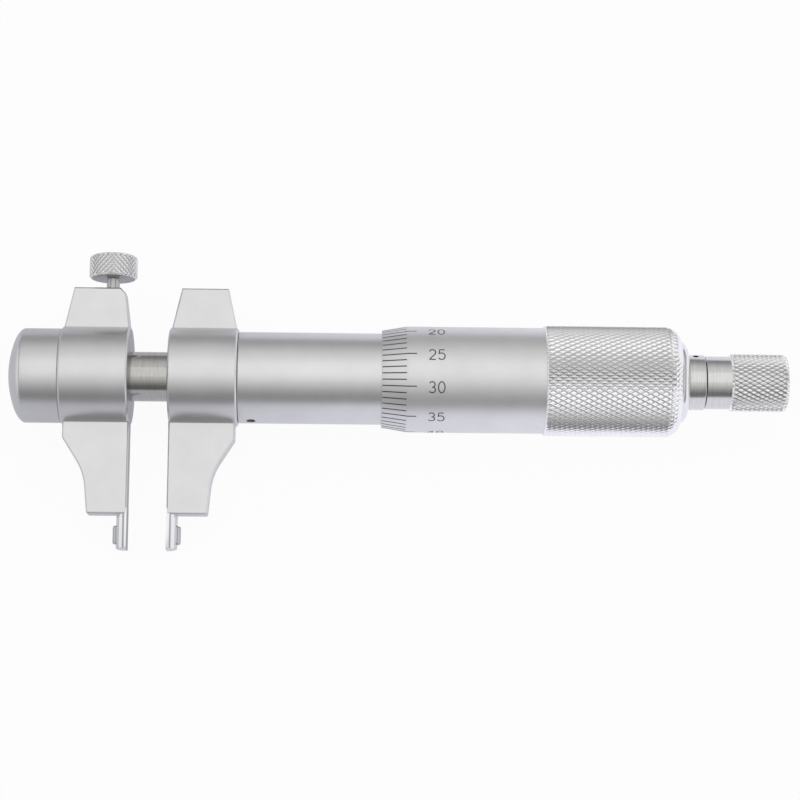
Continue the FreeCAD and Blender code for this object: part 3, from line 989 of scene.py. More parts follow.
class Figures:
    """Plain engraver's figures: strokes in a box 0.62 wide and 1 high."""

    width = 0.62
    strokes: dict[str, list[list[Point]]] = {
        "0": [curl((0.31, 0.5), (0.29, 0.5), 90, 450, 28)],
        "1": [[(0.12, 0.78), (0.36, 1.0), (0.36, 0.0)]],
        "2": [curl((0.31, 0.71), (0.28, 0.29), 165, -35, 14) + [(0.02, 0.0), (0.6, 0.0)]],
        "3": [curl((0.29, 0.75), (0.26, 0.25), 150, -90, 14) + curl((0.29, 0.26), (0.3, 0.26), 80, -150, 14)],
        "4": [[(0.46, 0.0), (0.46, 1.0), (0.0, 0.3), (0.62, 0.3)]],
        "5": [[(0.55, 1.0), (0.12, 1.0), (0.06, 0.56)] + curl((0.29, 0.33), (0.31, 0.33), 125, -150, 16)],
    }

    @classmethod
    def lines(cls, text: str, height: float, spacing: float = 0.22) -> list[list[Point]]:
        """Strokes of a whole number, centred on its own middle, in millimetres.

        Args:
            text: the number.
            height: height of its figures.
            spacing: gap between figures, as a share of their height.

        Returns:
            A path for each stroke.
        """
        pitch = cls.width + spacing
        start = -(pitch * len(text) - spacing) / 2
        made = []
        for place, sign in enumerate(text):
            for stroke in cls.strokes[sign]:
                made.append([((start + place * pitch + x) * height, (y - 0.5) * height) for x, y in stroke])
        return made


@dataclass(frozen=True)
class Engraver:
    """Lays thin painted strokes on a turned surface."""

    radius_at: Callable[[float], float]
    width: float
    proud: float = 0.012
    sunk: float = 0.05
    finest: float = 0.3

    def stroke(self, path: Sequence[Point], angle: float, station: float) -> Shell:
        """One stroke as a thin closed strip.

        Args:
            path: points (along X, round the surface) in millimetres from the stroke's seat.
            angle: where the seat is, in degrees from +Z towards +Y.
            station: where the seat is along X.

        Returns:
            The strip's shell.
        """
        half = self.width / 2
        nodes = self.divided(path)
        closed = (nodes[0] - nodes[-1]).length < TOUCH
        rows = []
        for i, here in enumerate(nodes):
            before = nodes[i - 1] if i else (nodes[-2] if closed else here)
            after = nodes[i + 1] if i + 1 < len(nodes) else (nodes[1] if closed else here)
            along = (after - before).normalized()
            side = Vector((-along.y, along.x)) * half
            corners = ((side, self.proud), (-side, self.proud), (-side, -self.sunk), (side, -self.sunk))
            rows.append([self.seat(here + shift, angle, station, lift) for shift, lift in corners])
        return layered(rows)

    def divided(self, path: Sequence[Point]) -> list[Vector]:
        """The path with extra points where it is long.

        Args:
            path: the path.

        Returns:
            Its points, no further apart than the finest step.
        """
        nodes = [Vector(path[0])]
        for point in path[1:]:
            end = Vector(point)
            gap = end - nodes[-1]
            pieces = max(1, math.ceil(gap.length / self.finest))
            first = nodes[-1].copy()
            nodes += [first + gap * share for share in shares(pieces)]
        return nodes

    def seat(self, point: Vector, angle: float, station: float, lift: float) -> Triple:
        """Point of the turned surface for an unrolled point, lifted off it by lift.

        Args:
            point: the point, along X and round the surface.
            angle: angle of the stroke's seat, in degrees.
            station: station of the stroke's seat.
            lift: height over the surface.

        Returns:
            The point in space.
        """
        x = station + point.x
        r = self.radius_at(x)
        turn = math.radians(angle) + point.y / r
        return (x, (r + lift) * math.sin(turn), (r + lift) * math.cos(turn))

    def number(self, text: str, height: float, angle: float, station: float) -> list[Shell]:
        """All strokes of a number centred on its seat."""
        return [self.stroke(path, angle, station) for path in Figures.lines(text, height)]


# ---- Jaws ----


class Side(enum.Enum):
    """Which of the two jaws it is."""

    MOVING = "moving"
    FIXED = "fixed"


@dataclass(frozen=True)
class Jaw:
    """Hub, sloping wing, waisted blade and half-round tip in one, with its contact pin."""

    side: Side
    corner_cut: float
    plate: float = 4.0
    bevel: float = 0.27
    hub_bevel: float = 0.3
    wing_top: float = 15.0
    wing_inset: float = 1.85
    wing_slope: float = 0.12
    blade_inset: float = 0.4
    shoulder_drop: float = 10.8
    waist: Point = (7.47, -16.66)
    waist_radius: float = 10.0
    foot: Point = (6.8, -23.6)
    contact_radius: float = 0.9
    contact_proud: float = 0.55
    contact_length: float = 3.1
    contact_margin: float = 0.9
    contact_rounding: float = 0.3
    contact_sides: int = 72
    foot_rounding: float = 0.34
    shoulder_rounding: float = 0.5
    shelf_drop: float = 1.0
    top_lean: float = 0.05
    cut_lean: Point = (0.1, 0.6)
    hub_softening: float = 0.35
    tip_profile: Stops = ((1.0, 0.0), (0.55, 0.12), (0.12, 0.55), (0.0, 1.0))
    tip_steps: int = 40
    spigot_length: float = 1.6
    spigot: Point = (5.5, 6.78)
    journal_bore: float = 2.55
    journal_end: float = 6.0
    guide_seat: float = 5.0
    guide_shoulder: float = 2.0
    barrel_wall: float = 1.75
    plane_area: float = 4.0
    seat_gap: float = 0.02
    run_gap: float = 0.05

    def outline(self) -> list[Point]:
        """Side view of wing and blade, anticlockwise, measured from the inner face.

        Returns:
            The closed outline of (X, Y) points.
        """
        back = ST.hub_length - self.blade_inset
        top_outer = ST.hub_length - self.wing_inset + self.top_lean
        shelf = ST.hub_radius - self.shelf_drop
        corners = [
            (0.0, self.foot[1], 0.0), (self.foot[0], self.foot[1], self.foot_rounding),
            (self.waist[0], self.waist[1], self.waist_radius),
            (back, -self.shoulder_drop, self.shoulder_rounding), (back, shelf - self.shelf_drop, 0.0),
            (ST.hub_length - self.wing_slope, shelf, 0.0), (top_outer, self.wing_top, 0.0),
        ]
        if self.corner_cut:
            slope = (self.wing_inset - self.wing_slope) / (self.wing_top - ST.hub_radius)
            corners += [
                (self.wing_inset + self.cut_lean[0] * self.corner_cut, self.wing_top, 0.0),
                (self.wing_inset - (slope + self.cut_lean[1]) * self.corner_cut,
                 self.wing_top - self.corner_cut, 0.0),
            ]
        else:
            corners.append((self.wing_inset, self.wing_top, 0.0))
        corners += [(self.wing_slope, shelf, 0.0), (0.0, shelf - self.wing_slope, 0.0)]
        return softened(corners, steps=9)

    def blade(self) -> Shell:
        """The flat plate with its bevelled edges.

        Returns:
            The plate, drawn from the inner face.
        """
        outline = self.outline()
        half = self.plate / 2
        steps = bevel_steps(self.bevel)
        levels = [(inset, -half + below) for inset, below in steps]
        levels += [(inset, half - below) for inset, below in reversed(steps)]
        rows = [[(x, y, z) for x, y in drawn_in(outline, inset)] for inset, z in levels]
        return layered(rows)

    def hub(self) -> Shell:
        """The round hub with its edge bevels.

        Returns:
            The hub, drawn from the inner face.
        """
        b = self.hub_bevel
        soft = b * self.hub_softening
        return turned(softened([
            (0.0, 0.0, 0.0), (0.0, ST.hub_radius - b, soft), (b, ST.hub_radius, soft),
            (ST.hub_length - b, ST.hub_radius, soft), (ST.hub_length, ST.hub_radius - b, soft),
            (ST.hub_length, 0.0, 0.0),
        ]))

    def tip(self) -> Shell:
        """Half-round tip below the blade.

        Returns:
            The tip, drawn from the inner face.
        """
        axis = -ST.closed_gap / 2
        soft = ST.tip_bevel
        levels = [(inset * soft, rise * soft) for inset, rise in self.tip_profile]
        levels.append((0.0, ST.tip_drop + self.foot[1] + OVERRUN))
        rows = []
        for inset, rise in levels:
            radius = ST.tip_radius - inset
            limit = math.degrees(math.acos(-axis / radius))
            arc = [math.radians(-limit + 2 * limit * k / self.tip_steps) for k in range(self.tip_steps + 1)]
            rows.append([(axis + radius * math.cos(t), -ST.tip_drop + rise, -radius * math.sin(t))
                         for t in arc])
        return layered(rows)

    @property
    def contact_centre(self) -> float:
        """Distance of the contact pin's axis from the jaw's inner face."""
        return ST.tip_radius - ST.closed_gap / 2 + self.contact_proud - self.contact_radius

    def contact(self) -> Shell:
        """The pin that is bedded along the tip.

        Returns:
            The pin, drawn from the inner face.
        """
        low = -ST.tip_drop + self.contact_margin
        high = low + self.contact_length
        soft = (self.contact_rounding, self.contact_rounding)
        pin = pipe(low, high, 0.0, self.contact_radius, soft, self.contact_sides, steps=5)
        return pin.moved(along_y(self.contact_centre))

    def facing(self) -> Matrix:
        """Placement of a jaw drawn from its inner face at zero.

        Returns:
            The placement, which mirrors the moving jaw.
        """
        if self.side is Side.MOVING:
            return Matrix.Translation((ST.hub_length, 0, 0)) @ Matrix.Scale(-1, 4, (1, 0, 0))
        return Matrix.Translation((ST.fixed_face, 0, 0))

    def bores(self) -> list[tuple[Join, Shell]]:
        """Spigot and cuts that differ between the two jaws, in their final places.

        Returns:
            Each way of joining with its shell.
        """
        if self.side is Side.MOVING:
            inside, outside = self.spigot
            return [
                (Join.ADD, pipe(-self.spigot_length, OVERRUN, inside, outside)),
                (Join.CUT, bar(-OVERRUN, self.journal_end, self.journal_bore)),
                (Join.CUT, bar(self.guide_seat, ST.hub_length + OVERRUN, ST.guide_radius + self.seat_gap)),
                (Join.CUT, upright(ST.lock_station, 0.0, self.wing_top + OVERRUN, ST.lock_bore)),
            ]
        back = ST.fixed_back + OVERRUN
        barrel = ST.sleeve_radius - self.barrel_wall + self.seat_gap
        return [
            (Join.CUT, bar(ST.fixed_face - OVERRUN, back, ST.guide_radius + self.run_gap)),
            (Join.CUT, bar(ST.fixed_face + self.guide_shoulder, back, barrel)),
        ]

    def choose(self, centre: Vector) -> int:
        """Bright tip, painted shade on the hub's inner face between the jaws, satin elsewhere.

        Args:
            centre: the face's centre.

        Returns:
            Number of its finish.
        """
        if centre.y < self.foot[1] - FACE_TOLERANCE:
            return 1
        inner = ST.hub_length if self.side is Side.MOVING else ST.fixed_face
        on_hub = math.hypot(centre.y, centre.z) < ST.hub_radius
        # painted shade: the hub's inner face, which lies between the two jaws, takes the darker finish
        return 2 if on_hub and abs(centre.x - inner) < FACE_TOLERANCE else 0

    def build(self) -> list[Object]:
        """Builds and places the jaw and its contact.

        Returns:
            The placed objects.
        """
        facing = self.facing()
        low = -ST.tip_drop + self.contact_margin - self.seat_gap
        seat = upright(self.contact_centre, low, low + self.contact_length + 2 * self.seat_gap,
                       self.contact_radius + self.seat_gap, self.contact_sides)
        tools = [(Join.ADD, self.blade()), (Join.ADD, self.tip()), (Join.CUT, seat)]
        tools = [(way, shell.moved(facing)) for way, shell in tools] + self.bores()
        body = Body.MOVING_JAW if self.side is Side.MOVING else Body.FRAME
        name = self.side.value
        mesh = joined(self.hub().moved(facing), tools, f"{name}_jaw_body")
        finishes = (SATIN, BRIGHT, PAINTED_SHADE_FACE)
        jaw = Piece(f"{name}_jaw_body", body, Slot.SATIN_CHROME, finishes, (f"{name}_jaw",),
                    plane_area=self.plane_area)
        pin = Piece(f"{name}_contact_pin", body, Slot.CARBIDE, (CARBIDE,), (f"{name}_contact",))
        return [jaw.put(mesh, self.choose), pin.put(self.contact().moved(facing))]


# ---- Cap, guide tube and barrel ----


@dataclass(frozen=True)
class EndCap:
    """Hollow cap with a rounded corner and a shallow crown."""

    radius: float = 8.0
    straight: float = 6.2
    corner_length: float = 2.0
    crown_radius: float = 5.05
    crown_rise: float = 0.8
    wall: float = 1.2
    lip: float = 0.15
    corner_lead: float = 0.15
    corner_power: float = 1.7
    sweep: int = 12

    def outline(self) -> list[Point]:
        """Section of the cap from its lip round the outside and back inside.

        Returns:
            The closed outline of (station, radius) points.
        """
        end = -self.straight - self.corner_length
        outside = [(-self.lip, self.radius), (-self.straight, self.radius)]
        fall = self.radius - self.crown_radius
        for share in shares(self.sweep):
            along = (1 + self.corner_lead) * share - self.corner_lead * share ** 3
            outside.append((-self.straight - self.corner_length * along,
                            self.radius - fall * share ** self.corner_power))
        ball = (self.crown_radius ** 2 + self.crown_rise ** 2) / (2 * self.crown_rise)
        for share in shares(self.sweep):
            r = self.crown_radius * (1 - share)
            outside.append((end - self.crown_rise + ball - math.sqrt(ball ** 2 - r ** 2), r))
        inner = self.radius - self.wall
        core = self.crown_radius - self.wall
        floor = end + self.wall / 2
        return outside + [(floor, 0.0), (floor, core), (-self.straight, inner), (0.0, inner),
                          (0.0, self.radius - self.lip)]

    def build(self) -> list[Object]:
        """Builds and places the cap."""
        cap = Piece("end_cap_shell", Body.MOVING_JAW, Slot.SATIN_CHROME, (SATIN,), ("end_cap",))
        return [cap.put(turned(self.outline()))]


@dataclass(frozen=True)
class GuideTube:
    """Ground tube between the jaws, with its keyway on the back."""

    bore: float = 3.05
    end_rounding: float = 0.15
    keyway_half: float = 0.8
    keyway_steps: int = 16
    key_setback: float = 2.4
    key_margin: float = 0.35

    def build(self) -> list[Object]:
        """Builds and places the tube.

        Returns:
            The placed objects.
        """
        xs = [v.co.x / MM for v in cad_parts["guide_tube"].data.vertices]
        start, end = min(xs), max(xs)
        tube = pipe(start, end, self.bore, ST.guide_radius, (0.0, self.end_rounding), segments=160)
        key = ST.fixed_back - self.key_setback
        first = key - (ST.reading - ST.min_reading) - self.key_margin
        last = key + (ST.max_reading - ST.reading) + self.key_margin
        tools = [(Join.CUT, self.keyway(first, last)),
                 (Join.CUT, upright(ST.lock_station, 0.0, ST.guide_radius + OVERRUN, ST.lock_bore))]
        rod = Piece("guide_tube_rod", Body.MOVING_JAW, Slot.GROUND_STEEL, (GROUND,), ("guide_tube",))
        return [rod.put(joined(tube, tools, rod.name))]

    def keyway(self, first: float, last: float) -> Shell:
        """Round-ended slot in the back of the tube.

        Args:
            first: centre of one round end.
            last: centre of the other.

        Returns:
            The tool that cuts the slot.
        """
        half = self.keyway_half
        arc = np.linspace(-math.pi / 2, math.pi / 2, self.keyway_steps + 1)
        outline = [(last + half * math.cos(t), half * math.sin(t)) for t in arc]
        outline += [(first - half * math.cos(t), -half * math.sin(t)) for t in arc]
        return layered([[(x, y, z) for x, y in outline] for z in (-ST.guide_radius - OVERRUN, 0.0)])


@dataclass(frozen=True)
class Barrel:
    """Graduated sleeve: spanner hole and millimetre scale, both on the side of the tips."""

    wall: float = 1.7
    bevel: float = 0.2
    face_gap: float = 0.05
    hidden_reach: float = 8.0
    hole_radius: float = 0.75
    hole_setback: float = 2.28
    hole_angle: float = -80.0
    zero_angle: float = -103.3
    line: float = 0.15
    full_tick: float = 1.9
    half_tick: float = 1.3
    five_tick: float = 2.6
    figure_height: float = 1.7
    figure_gap: float = 0.5
    overhang: float = 0.6

    @property
    def end(self) -> float:
        """Hidden end of the sleeve under the thimble."""
        return ST.thimble_edge + ST.reading - ST.min_reading + self.hidden_reach

    def build(self) -> list[Object]:
        """Builds and places the sleeve and its scale.

        Returns:
            The placed objects.
        """
        first = ST.fixed_back + self.face_gap
        bore = ST.sleeve_radius - self.wall
        blank = pipe(first, self.end, bore, ST.sleeve_radius, (self.bevel, self.bevel), segments=224)
        hole = bar(bore - OVERRUN, ST.sleeve_radius + OVERRUN, self.hole_radius, segments=48)
        hole = hole.moved(out_from_axis(ST.fixed_back + self.hole_setback, self.hole_angle))
        sleeve = Piece("sleeve_shell", Body.SLEEVE, Slot.SATIN_CHROME, (SATIN_TURNED,), ("graduated_sleeve",))
        lines = Piece("sleeve_scale", Body.SLEEVE, Slot.STEEL, (ENGRAVING,))
        return [sleeve.put(joined(blank, [(Join.CUT, hole)], sleeve.name)), lines.put(self.scale())]

    def station(self, reading: float) -> float:
        """Place of a reading's line along X."""
        return ST.thimble_edge + ST.reading - reading

    def scale(self) -> Shell:
        """Zero line, half-millimetre ticks and figures, just out of the photograph's sight.

        Returns:
            All strokes as one shell.
        """
        pen = Engraver(lambda x: ST.sleeve_radius, self.line)
        low, high = self.station(ST.max_reading), self.station(ST.min_reading)
        strips = [pen.stroke([(-self.overhang, 0.0), (high - low + self.overhang, 0.0)], self.zero_angle, low)]
        for count in range(int(2 * (ST.max_reading - ST.min_reading)) + 1):
            reading = ST.min_reading + count / 2
            at = self.station(reading)
            fifth = reading % 5 == 0
            length = self.half_tick if count % 2 else self.five_tick if fifth else self.full_tick
            strips.append(pen.stroke([(0.0, 0.0), (0.0, -length)], self.zero_angle, at))
            if fifth:
                away = self.five_tick + self.figure_gap + self.figure_height / 2
                lift = math.degrees(away / ST.sleeve_radius)
                strips += pen.number(str(int(reading)), self.figure_height, self.zero_angle - lift, at)
        return gathered(strips)


# ---- Thimble and ratchet stop ----


@dataclass(frozen=True)
class Thimble:
    """Bevelled graduated edge, plain band, knurled band, rounded shoulder and polished nose."""

    edge_radius: float = 8.25
    taper: float = 4.4
    radius: float = 9.0
    plain: float = 27.5
    knurl_length: float = 21.7
    nose_length: float = 2.85
    nose_radius: float = 4.9
    shoulder: Point = (1.6, 7.0)
    end_wall: float = 4.15
    taper_radius: float = 3.4
    taper_slope: float = 0.12
    knurl: Knurl = Knurl(64, 1.709, 0.2, flat=0.3)
    knurled_share: float = 0.72
    divisions: int = 50
    zero_offset: float = -16.9
    zero_division: int = 30
    short_line: float = 4.1
    long_line: float = 5.8
    figure_station: float = 9.15
    figure_height: float = 1.85
    figure_turn: float = -0.9
    line: float = 0.19
    line_start: float = 0.04
    run_gap: float = 0.05
    edge_rounding: float = 0.06
    taper_rounding: float = 1.5
    taper_gap: float = 0.02
    knurl_margin: float = 0.22
    knurl_rise: Point = (0.02, 0.12)
    round_lead: float = 1.1
    round_turn: float = 0.42
    round_steps: int = 16
    fade_in: Fade = Fade(0.3, floor=0.55)
    fade_power: float = 0.6
    nose_steps: int = 10
    nose_powers: Point = (0.9, 0.85)
    band_margin: float = 0.1

    @property
    def knurl_start(self) -> float:
        """Where the knurled band begins."""
        return ST.thimble_edge + self.plain

    @property
    def knurl_end(self) -> float:
        """Where the knurled band turns into the shoulder."""
        return self.knurl_start + self.knurl_length

    @property
    def end(self) -> float:
        """Face of the nose that the ratchet's flange clamps."""
        return self.knurl_end + self.nose_length

    def radius_at(self, x: float) -> float:
        """Outer radius of the graduated edge and plain band."""
        share = min(1.0, max(0.0, (x - ST.thimble_edge) / self.taper))
        return self.edge_radius + (self.radius - self.edge_radius) * share

    def crest_line(self) -> list[Point]:
        """Crests of the knurl along the band and round the shoulder.

        Returns:
            The path of (station, radius) points.
        """
        crest = ST.knurl_radius - CREST_CLEARANCE
        round_start = self.knurl_end - self.round_lead
        end_x, end_r = self.knurl_end + self.shoulder[0], self.shoulder[1]
        path = [(self.knurl_start + self.knurl_margin, crest), (round_start, crest)]
        last = math.pi * self.round_turn
        for share in shares(self.round_steps):
            turn = share * math.pi * self.round_turn
            ease_x = math.sin(turn) / math.sin(last)
            ease_r = (1 - math.cos(turn)) / (1 - math.cos(last))
            path.append((round_start + (end_x - round_start) * ease_x, crest - (crest - end_r) * ease_r))
        return path

    def rings(self) -> list[Ring]:
        """The closed outline of the thimble as rings.

        Returns:
            The rings, from the graduated edge round to the bore.
        """
        edge = ST.thimble_edge
        bore = ST.sleeve_radius + self.run_gap
        front = softened([
            (edge, bore, 0.0), (edge, self.edge_radius, self.edge_rounding),
            (edge + self.taper, self.radius, self.taper_rounding), (self.knurl_start, self.radius, 0.0),
        ])[:-1]
        path = self.crest_line()
        reach = self.knurled_share * sum(math.dist(a, b) for a, b in zip(path[1:], path[2:]))
        fade_out = Fade(reach, 1 - 1 / self.knurled_share, self.fade_power)
        knurl = knurled_run(path, self.knurl, self.fade_in, fade_out)
        knurl[-1] = Ring(knurl[-1].x, knurl[-1].r)
        nose = []
        start = path[-1]
        for share in shares(self.nose_steps):
            turn = share * math.pi / 2
            out, fall = math.sin(turn) ** self.nose_powers[0], (1 - math.cos(turn)) ** self.nose_powers[1]
            nose.append((start[0] + (self.end - start[0]) * out, start[1] - (start[1] - self.nose_radius) * fall))
        wall = self.end - self.end_wall
        seat = self.taper_radius + self.taper_gap
        inside = [(self.end, seat - self.taper_slope * self.end_wall), (wall, seat), (wall, bore)]
        before = [(self.knurl_start, self.radius),
                  (self.knurl_start + self.knurl_rise[0], self.radius + self.knurl_rise[1])]
        return plain_rings(front + before) + knurl + plain_rings(nose + inside)

    def graduations(self) -> Shell:
        """Fifty lines round the edge, with a figure at every fifth.

        Returns:
            All strokes as one shell.
        """
        pen = Engraver(self.radius_at, self.line)
        strips = []
        for count in range(self.divisions):
            angle = self.zero_offset - (count - self.zero_division) * 360 / self.divisions
            length = self.short_line if count % 5 else self.long_line
            path = [(self.line_start, 0.0), (min(length, self.taper), 0.0)]
            if length > self.taper:
                path.append((length, 0.0))
            strips.append(pen.stroke(path, angle, ST.thimble_edge))
            if count % 5 == 0:
                strips += pen.number(str(count), self.figure_height, angle + self.figure_turn,
                                     ST.thimble_edge + self.figure_station)
        return gathered(strips)

    def build(self) -> list[Object]:
        """Builds and places the thimble and its graduations.

        Returns:
            The placed objects.
        """
        bright_start = self.knurl_end + self.shoulder[0] * self.knurled_share

        def choose(centre: Vector) -> int:
            """Plain band, knurl or polished nose by the face's station.

            Args:
                centre: the face's centre.

            Returns:
                Number of its finish.
            """
            if centre.x < self.knurl_start + self.band_margin:
                return 0
            return 1 if centre.x < bright_start else 2

        finishes = (SATIN_THIMBLE, KNURLED, BRIGHT)
        drum = Piece("thimble_shell", Body.SPINDLE, Slot.SATIN_CHROME, finishes, ("thimble",), KNURL_CREASE)
        lines = Piece("thimble_graduations", Body.SPINDLE, Slot.STEEL, (ENGRAVING,))
        return [drum.put(knurled(self.rings(), self.knurl), choose), lines.put(self.graduations())]


@dataclass(frozen=True)
class RatchetStop:
    """Flange with the stud, and the knurled knob that slips on it."""

    thimble_end: float
    base_radius: float = 4.7
    base_length: float = 2.8
    bevel: float = 0.15
    hole_radius: float = 0.5
    hole_setback: float = 1.3
    hole_angle: float = 62.0
    seam: float = 0.15
    stud_radius: float = 2.0
    collar_radius: float = 4.5
    collar_length: float = 4.2
    radius: float = 4.9
    length: float = 14.0
    end_round: float = 0.8
    wall: float = 1.1
    cavity: float = 8.0
    rim: float = 1.7
    recess: float = 2.35
    root: Point = (5.2, 1.5)
    stud_lead: float = 0.1
    stud_bevel: float = 0.2
    hole_floor: float = 2.7
    screw: Point = (4.5, 1.02)
    play: float = 0.05
    knurl_lead: Point = (0.05, 0.1)
    knurl_margin: float = 0.3
    fade_in: Fade = Fade(0.5, floor=0.2)
    fade_out: Fade = Fade(0.9, floor=0.1)
    end_steps: int = 6
    end_turn: float = 0.8
    rim_bevel: float = 0.12
    grip_margin: float = 0.2
    knurl: Knurl = Knurl(37, 1.532, 0.26, flat=0.25)

    @property
    def start(self) -> float:
        """Face of the knob's collar."""
        return self.thimble_end + self.base_length + self.seam

    @property
    def end(self) -> float:
        """Outer end of the knob."""
        return self.start + self.length

    def flange(self) -> Mesh:
        """Flange and stud with the small tommy hole.

        Returns:
            The mesh of flange and stud.
        """
        first, last = self.thimble_end, self.thimble_end + self.base_length
        stud_end = self.end - self.recess + self.stud_lead
        root, thread = self.root
        blank = turned(softened([
            (first - root, 0.0, 0.0), (first - root, thread, 0.0), (first, thread, 0.0),
            (first, self.base_radius, self.bevel), (last, self.base_radius, self.bevel),
            (last, self.stud_radius, 0.0), (stud_end, self.stud_radius, self.stud_bevel), (stud_end, 0.0, 0.0),
        ]), segments=160)
        hole = bar(self.hole_floor, self.base_radius + OVERRUN, self.hole_radius, segments=40)
        screw = bar(stud_end - self.screw[0], stud_end + OVERRUN, self.screw[1], segments=48)
        hole = hole.moved(out_from_axis(first + self.hole_setback, self.hole_angle))
        return joined(blank, [(Join.CUT, hole), (Join.CUT, screw)], "ratchet_flange")

    def knob_rings(self) -> list[Ring]:
        """The knob's closed outline as rings.

        Returns:
            The rings, from the collar round to the cavity.
        """
        shoulder = self.start + self.collar_length
        cavity_radius = self.collar_radius - self.wall
        crest = self.radius - CREST_CLEARANCE
        collar = softened([
            (self.start, cavity_radius, 0.0), (self.start, self.collar_radius, self.bevel),
            (shoulder, self.collar_radius, 0.0),
        ])
        path = [(shoulder + self.knurl_lead[0], self.collar_radius + self.knurl_lead[1]),
                (shoulder + self.knurl_margin, crest), (self.end - self.end_round, crest)]
        for share in shares(self.end_steps):
            turn = share * math.pi / 2 * self.end_turn
            path.append((self.end - self.end_round * (1 - math.sin(turn)),
                         crest - self.end_round * (1 - math.cos(turn))))
        knurl = knurled_run(path, self.knurl, self.fade_in, self.fade_out)
        inner = self.radius - self.rim
        depth = self.end - self.recess
        bevel, clear = self.rim_bevel, self.stud_radius + self.play
        tail = [(self.end, path[-1][1] - bevel), (self.end, inner + bevel), (self.end - bevel, inner),
                (depth, inner), (depth, clear), (self.start + self.cavity, clear),
                (self.start + self.cavity, cavity_radius)]
        return plain_rings(collar) + knurl + plain_rings(tail)

    def build(self) -> list[Object]:
        """Builds and places the flange and the knob.

        Returns:
            The placed objects.
        """
        shoulder = self.start + self.collar_length

        def choose(centre: Vector) -> int:
            """Turned collar and recess, or knurled grip."""
            outside = math.hypot(centre.y, centre.z) > self.radius - self.rim + self.grip_margin
            return 1 if outside and centre.x > shoulder + FACE_TOLERANCE else 0

        flange = Piece("ratchet_flange", Body.SPINDLE, Slot.STEEL, (TURNED,), ("ratchet_base",))
        grip = Piece("ratchet_grip", Body.RATCHET_KNOB, Slot.KNURLED_CHROME, (TURNED, KNURLED_GRIP),
                     ("ratchet_knob",), KNURL_CREASE)
        return [flange.put(self.flange()), grip.put(knurled(self.knob_rings(), self.knurl), choose)]


@dataclass(frozen=True)
class LockScrew:
    """Lock screw in the moving jaw's wing: shank, thin neck and broad knurled knob."""

    bottom: float = 5.35
    shank: float = 1.25
    neck: float = 1.1
    neck_start: float = 14.2
    knob_base: float = 16.8
    knob_height: float = 3.95
    knob_radius: float = 4.1
    rounding: float = 0.35
    rim_profile: Stops = ((0.0, 1.6), (0.25, 0.8))
    core: float = 0.02
    edge: float = 0.12
    underside: float = 3.0
    top_flat: float = 2.6
    dish: float = 0.05
    fade: Fade = Fade(0.7, power=1.2)
    rim_width: float = 0.45
    under_margin: float = 0.3
    knurl: Knurl = Knurl(28, 0.86, 0.16, flat=0.3)

    def rings(self) -> list[Ring]:
        """Closed outline along the screw's own axis.

        Returns:
            The rings, from the screw to the top of its knob.
        """
        base, top = self.knob_base, self.knob_base + self.knob_height
        crest = self.knob_radius - CREST_CLEARANCE
        soft = self.rounding
        low = softened([
            (self.bottom, self.core, 0.0), (self.bottom, self.shank, self.edge),
            (self.neck_start, self.shank, 0.0), (self.neck_start + self.edge, self.neck, 0.0),
            (base, self.neck, self.edge), (base, self.underside, 0.0),
        ])
        rim = [(rise * soft, self.knob_radius - fall * soft) for rise, fall in self.rim_profile]
        rim.append((soft, crest))
        path = [(base + rise, r) for rise, r in rim] + [(top - rise, r) for rise, r in reversed(rim)]
        knurl = knurled_run(path, self.knurl, self.fade, self.fade)
        return plain_rings(low) + knurl + plain_rings([(top, self.top_flat), (top - self.dish, self.core)])

    def build(self) -> list[Object]:
        """Builds and places the lock screw.

        Returns:
            The placed objects.
        """
        shell = knurled(self.rings(), self.knurl).moved(along_y(ST.lock_station))
        knob = Piece("lock_screw_knob", Body.LOCK_SCREW, Slot.KNURLED_CHROME,
                     (TURNED, KNURLED, STEEL, PAINTED_SHADE_FACE), ("lock_screw",), KNURL_CREASE)
        return [knob.put(shell, self.choose)]

    def choose(self, centre: Vector) -> int:
        """Darker steel on neck and shank as painted shade under the knob, knurl on the rim, painted shade on the
        underside, turned top.

        Args:
            centre: the face's centre.

        Returns:
            Number of its finish.
        """
        away = math.hypot(centre.x - ST.lock_station, centre.z)
        # painted shade: the neck and shank under the knob take the darker plain steel
        if centre.y < self.knob_base - FACE_TOLERANCE:
            return 2
        if away > self.knob_radius - self.rim_width:
            return 1
        # painted shade: the knob's underside takes the darker face finish
        return 3 if centre.y < self.knob_base + self.under_margin else 0


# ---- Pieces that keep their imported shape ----


@dataclass(frozen=True)
class InnerWorks:
    """Nut, spindle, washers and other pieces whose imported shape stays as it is."""

    finishes: dict[str, MetalFinish] = field(default_factory=lambda: {
        "inner_sleeve": STEEL, "adjusting_nut": STEEL, "guide_key": STEEL, "spindle": GROUND,
        "retaining_nut": STEEL, "thrust_washer": BRASS, "clamp_pad": BRASS, "stud_screw": TURNED,
        "clutch_disc": STEEL, "ratchet_spring": STEEL,
    })

    def build(self) -> list[Object]:
        """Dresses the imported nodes.

        Returns:
            The dressed objects.
        """
        for name, finish in self.finishes.items():
            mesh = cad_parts[name].data
            mesh.materials.clear()
            mesh.materials.append(finish.material())
        return [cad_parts[name] for name in self.finishes]


# ---- Studio ----


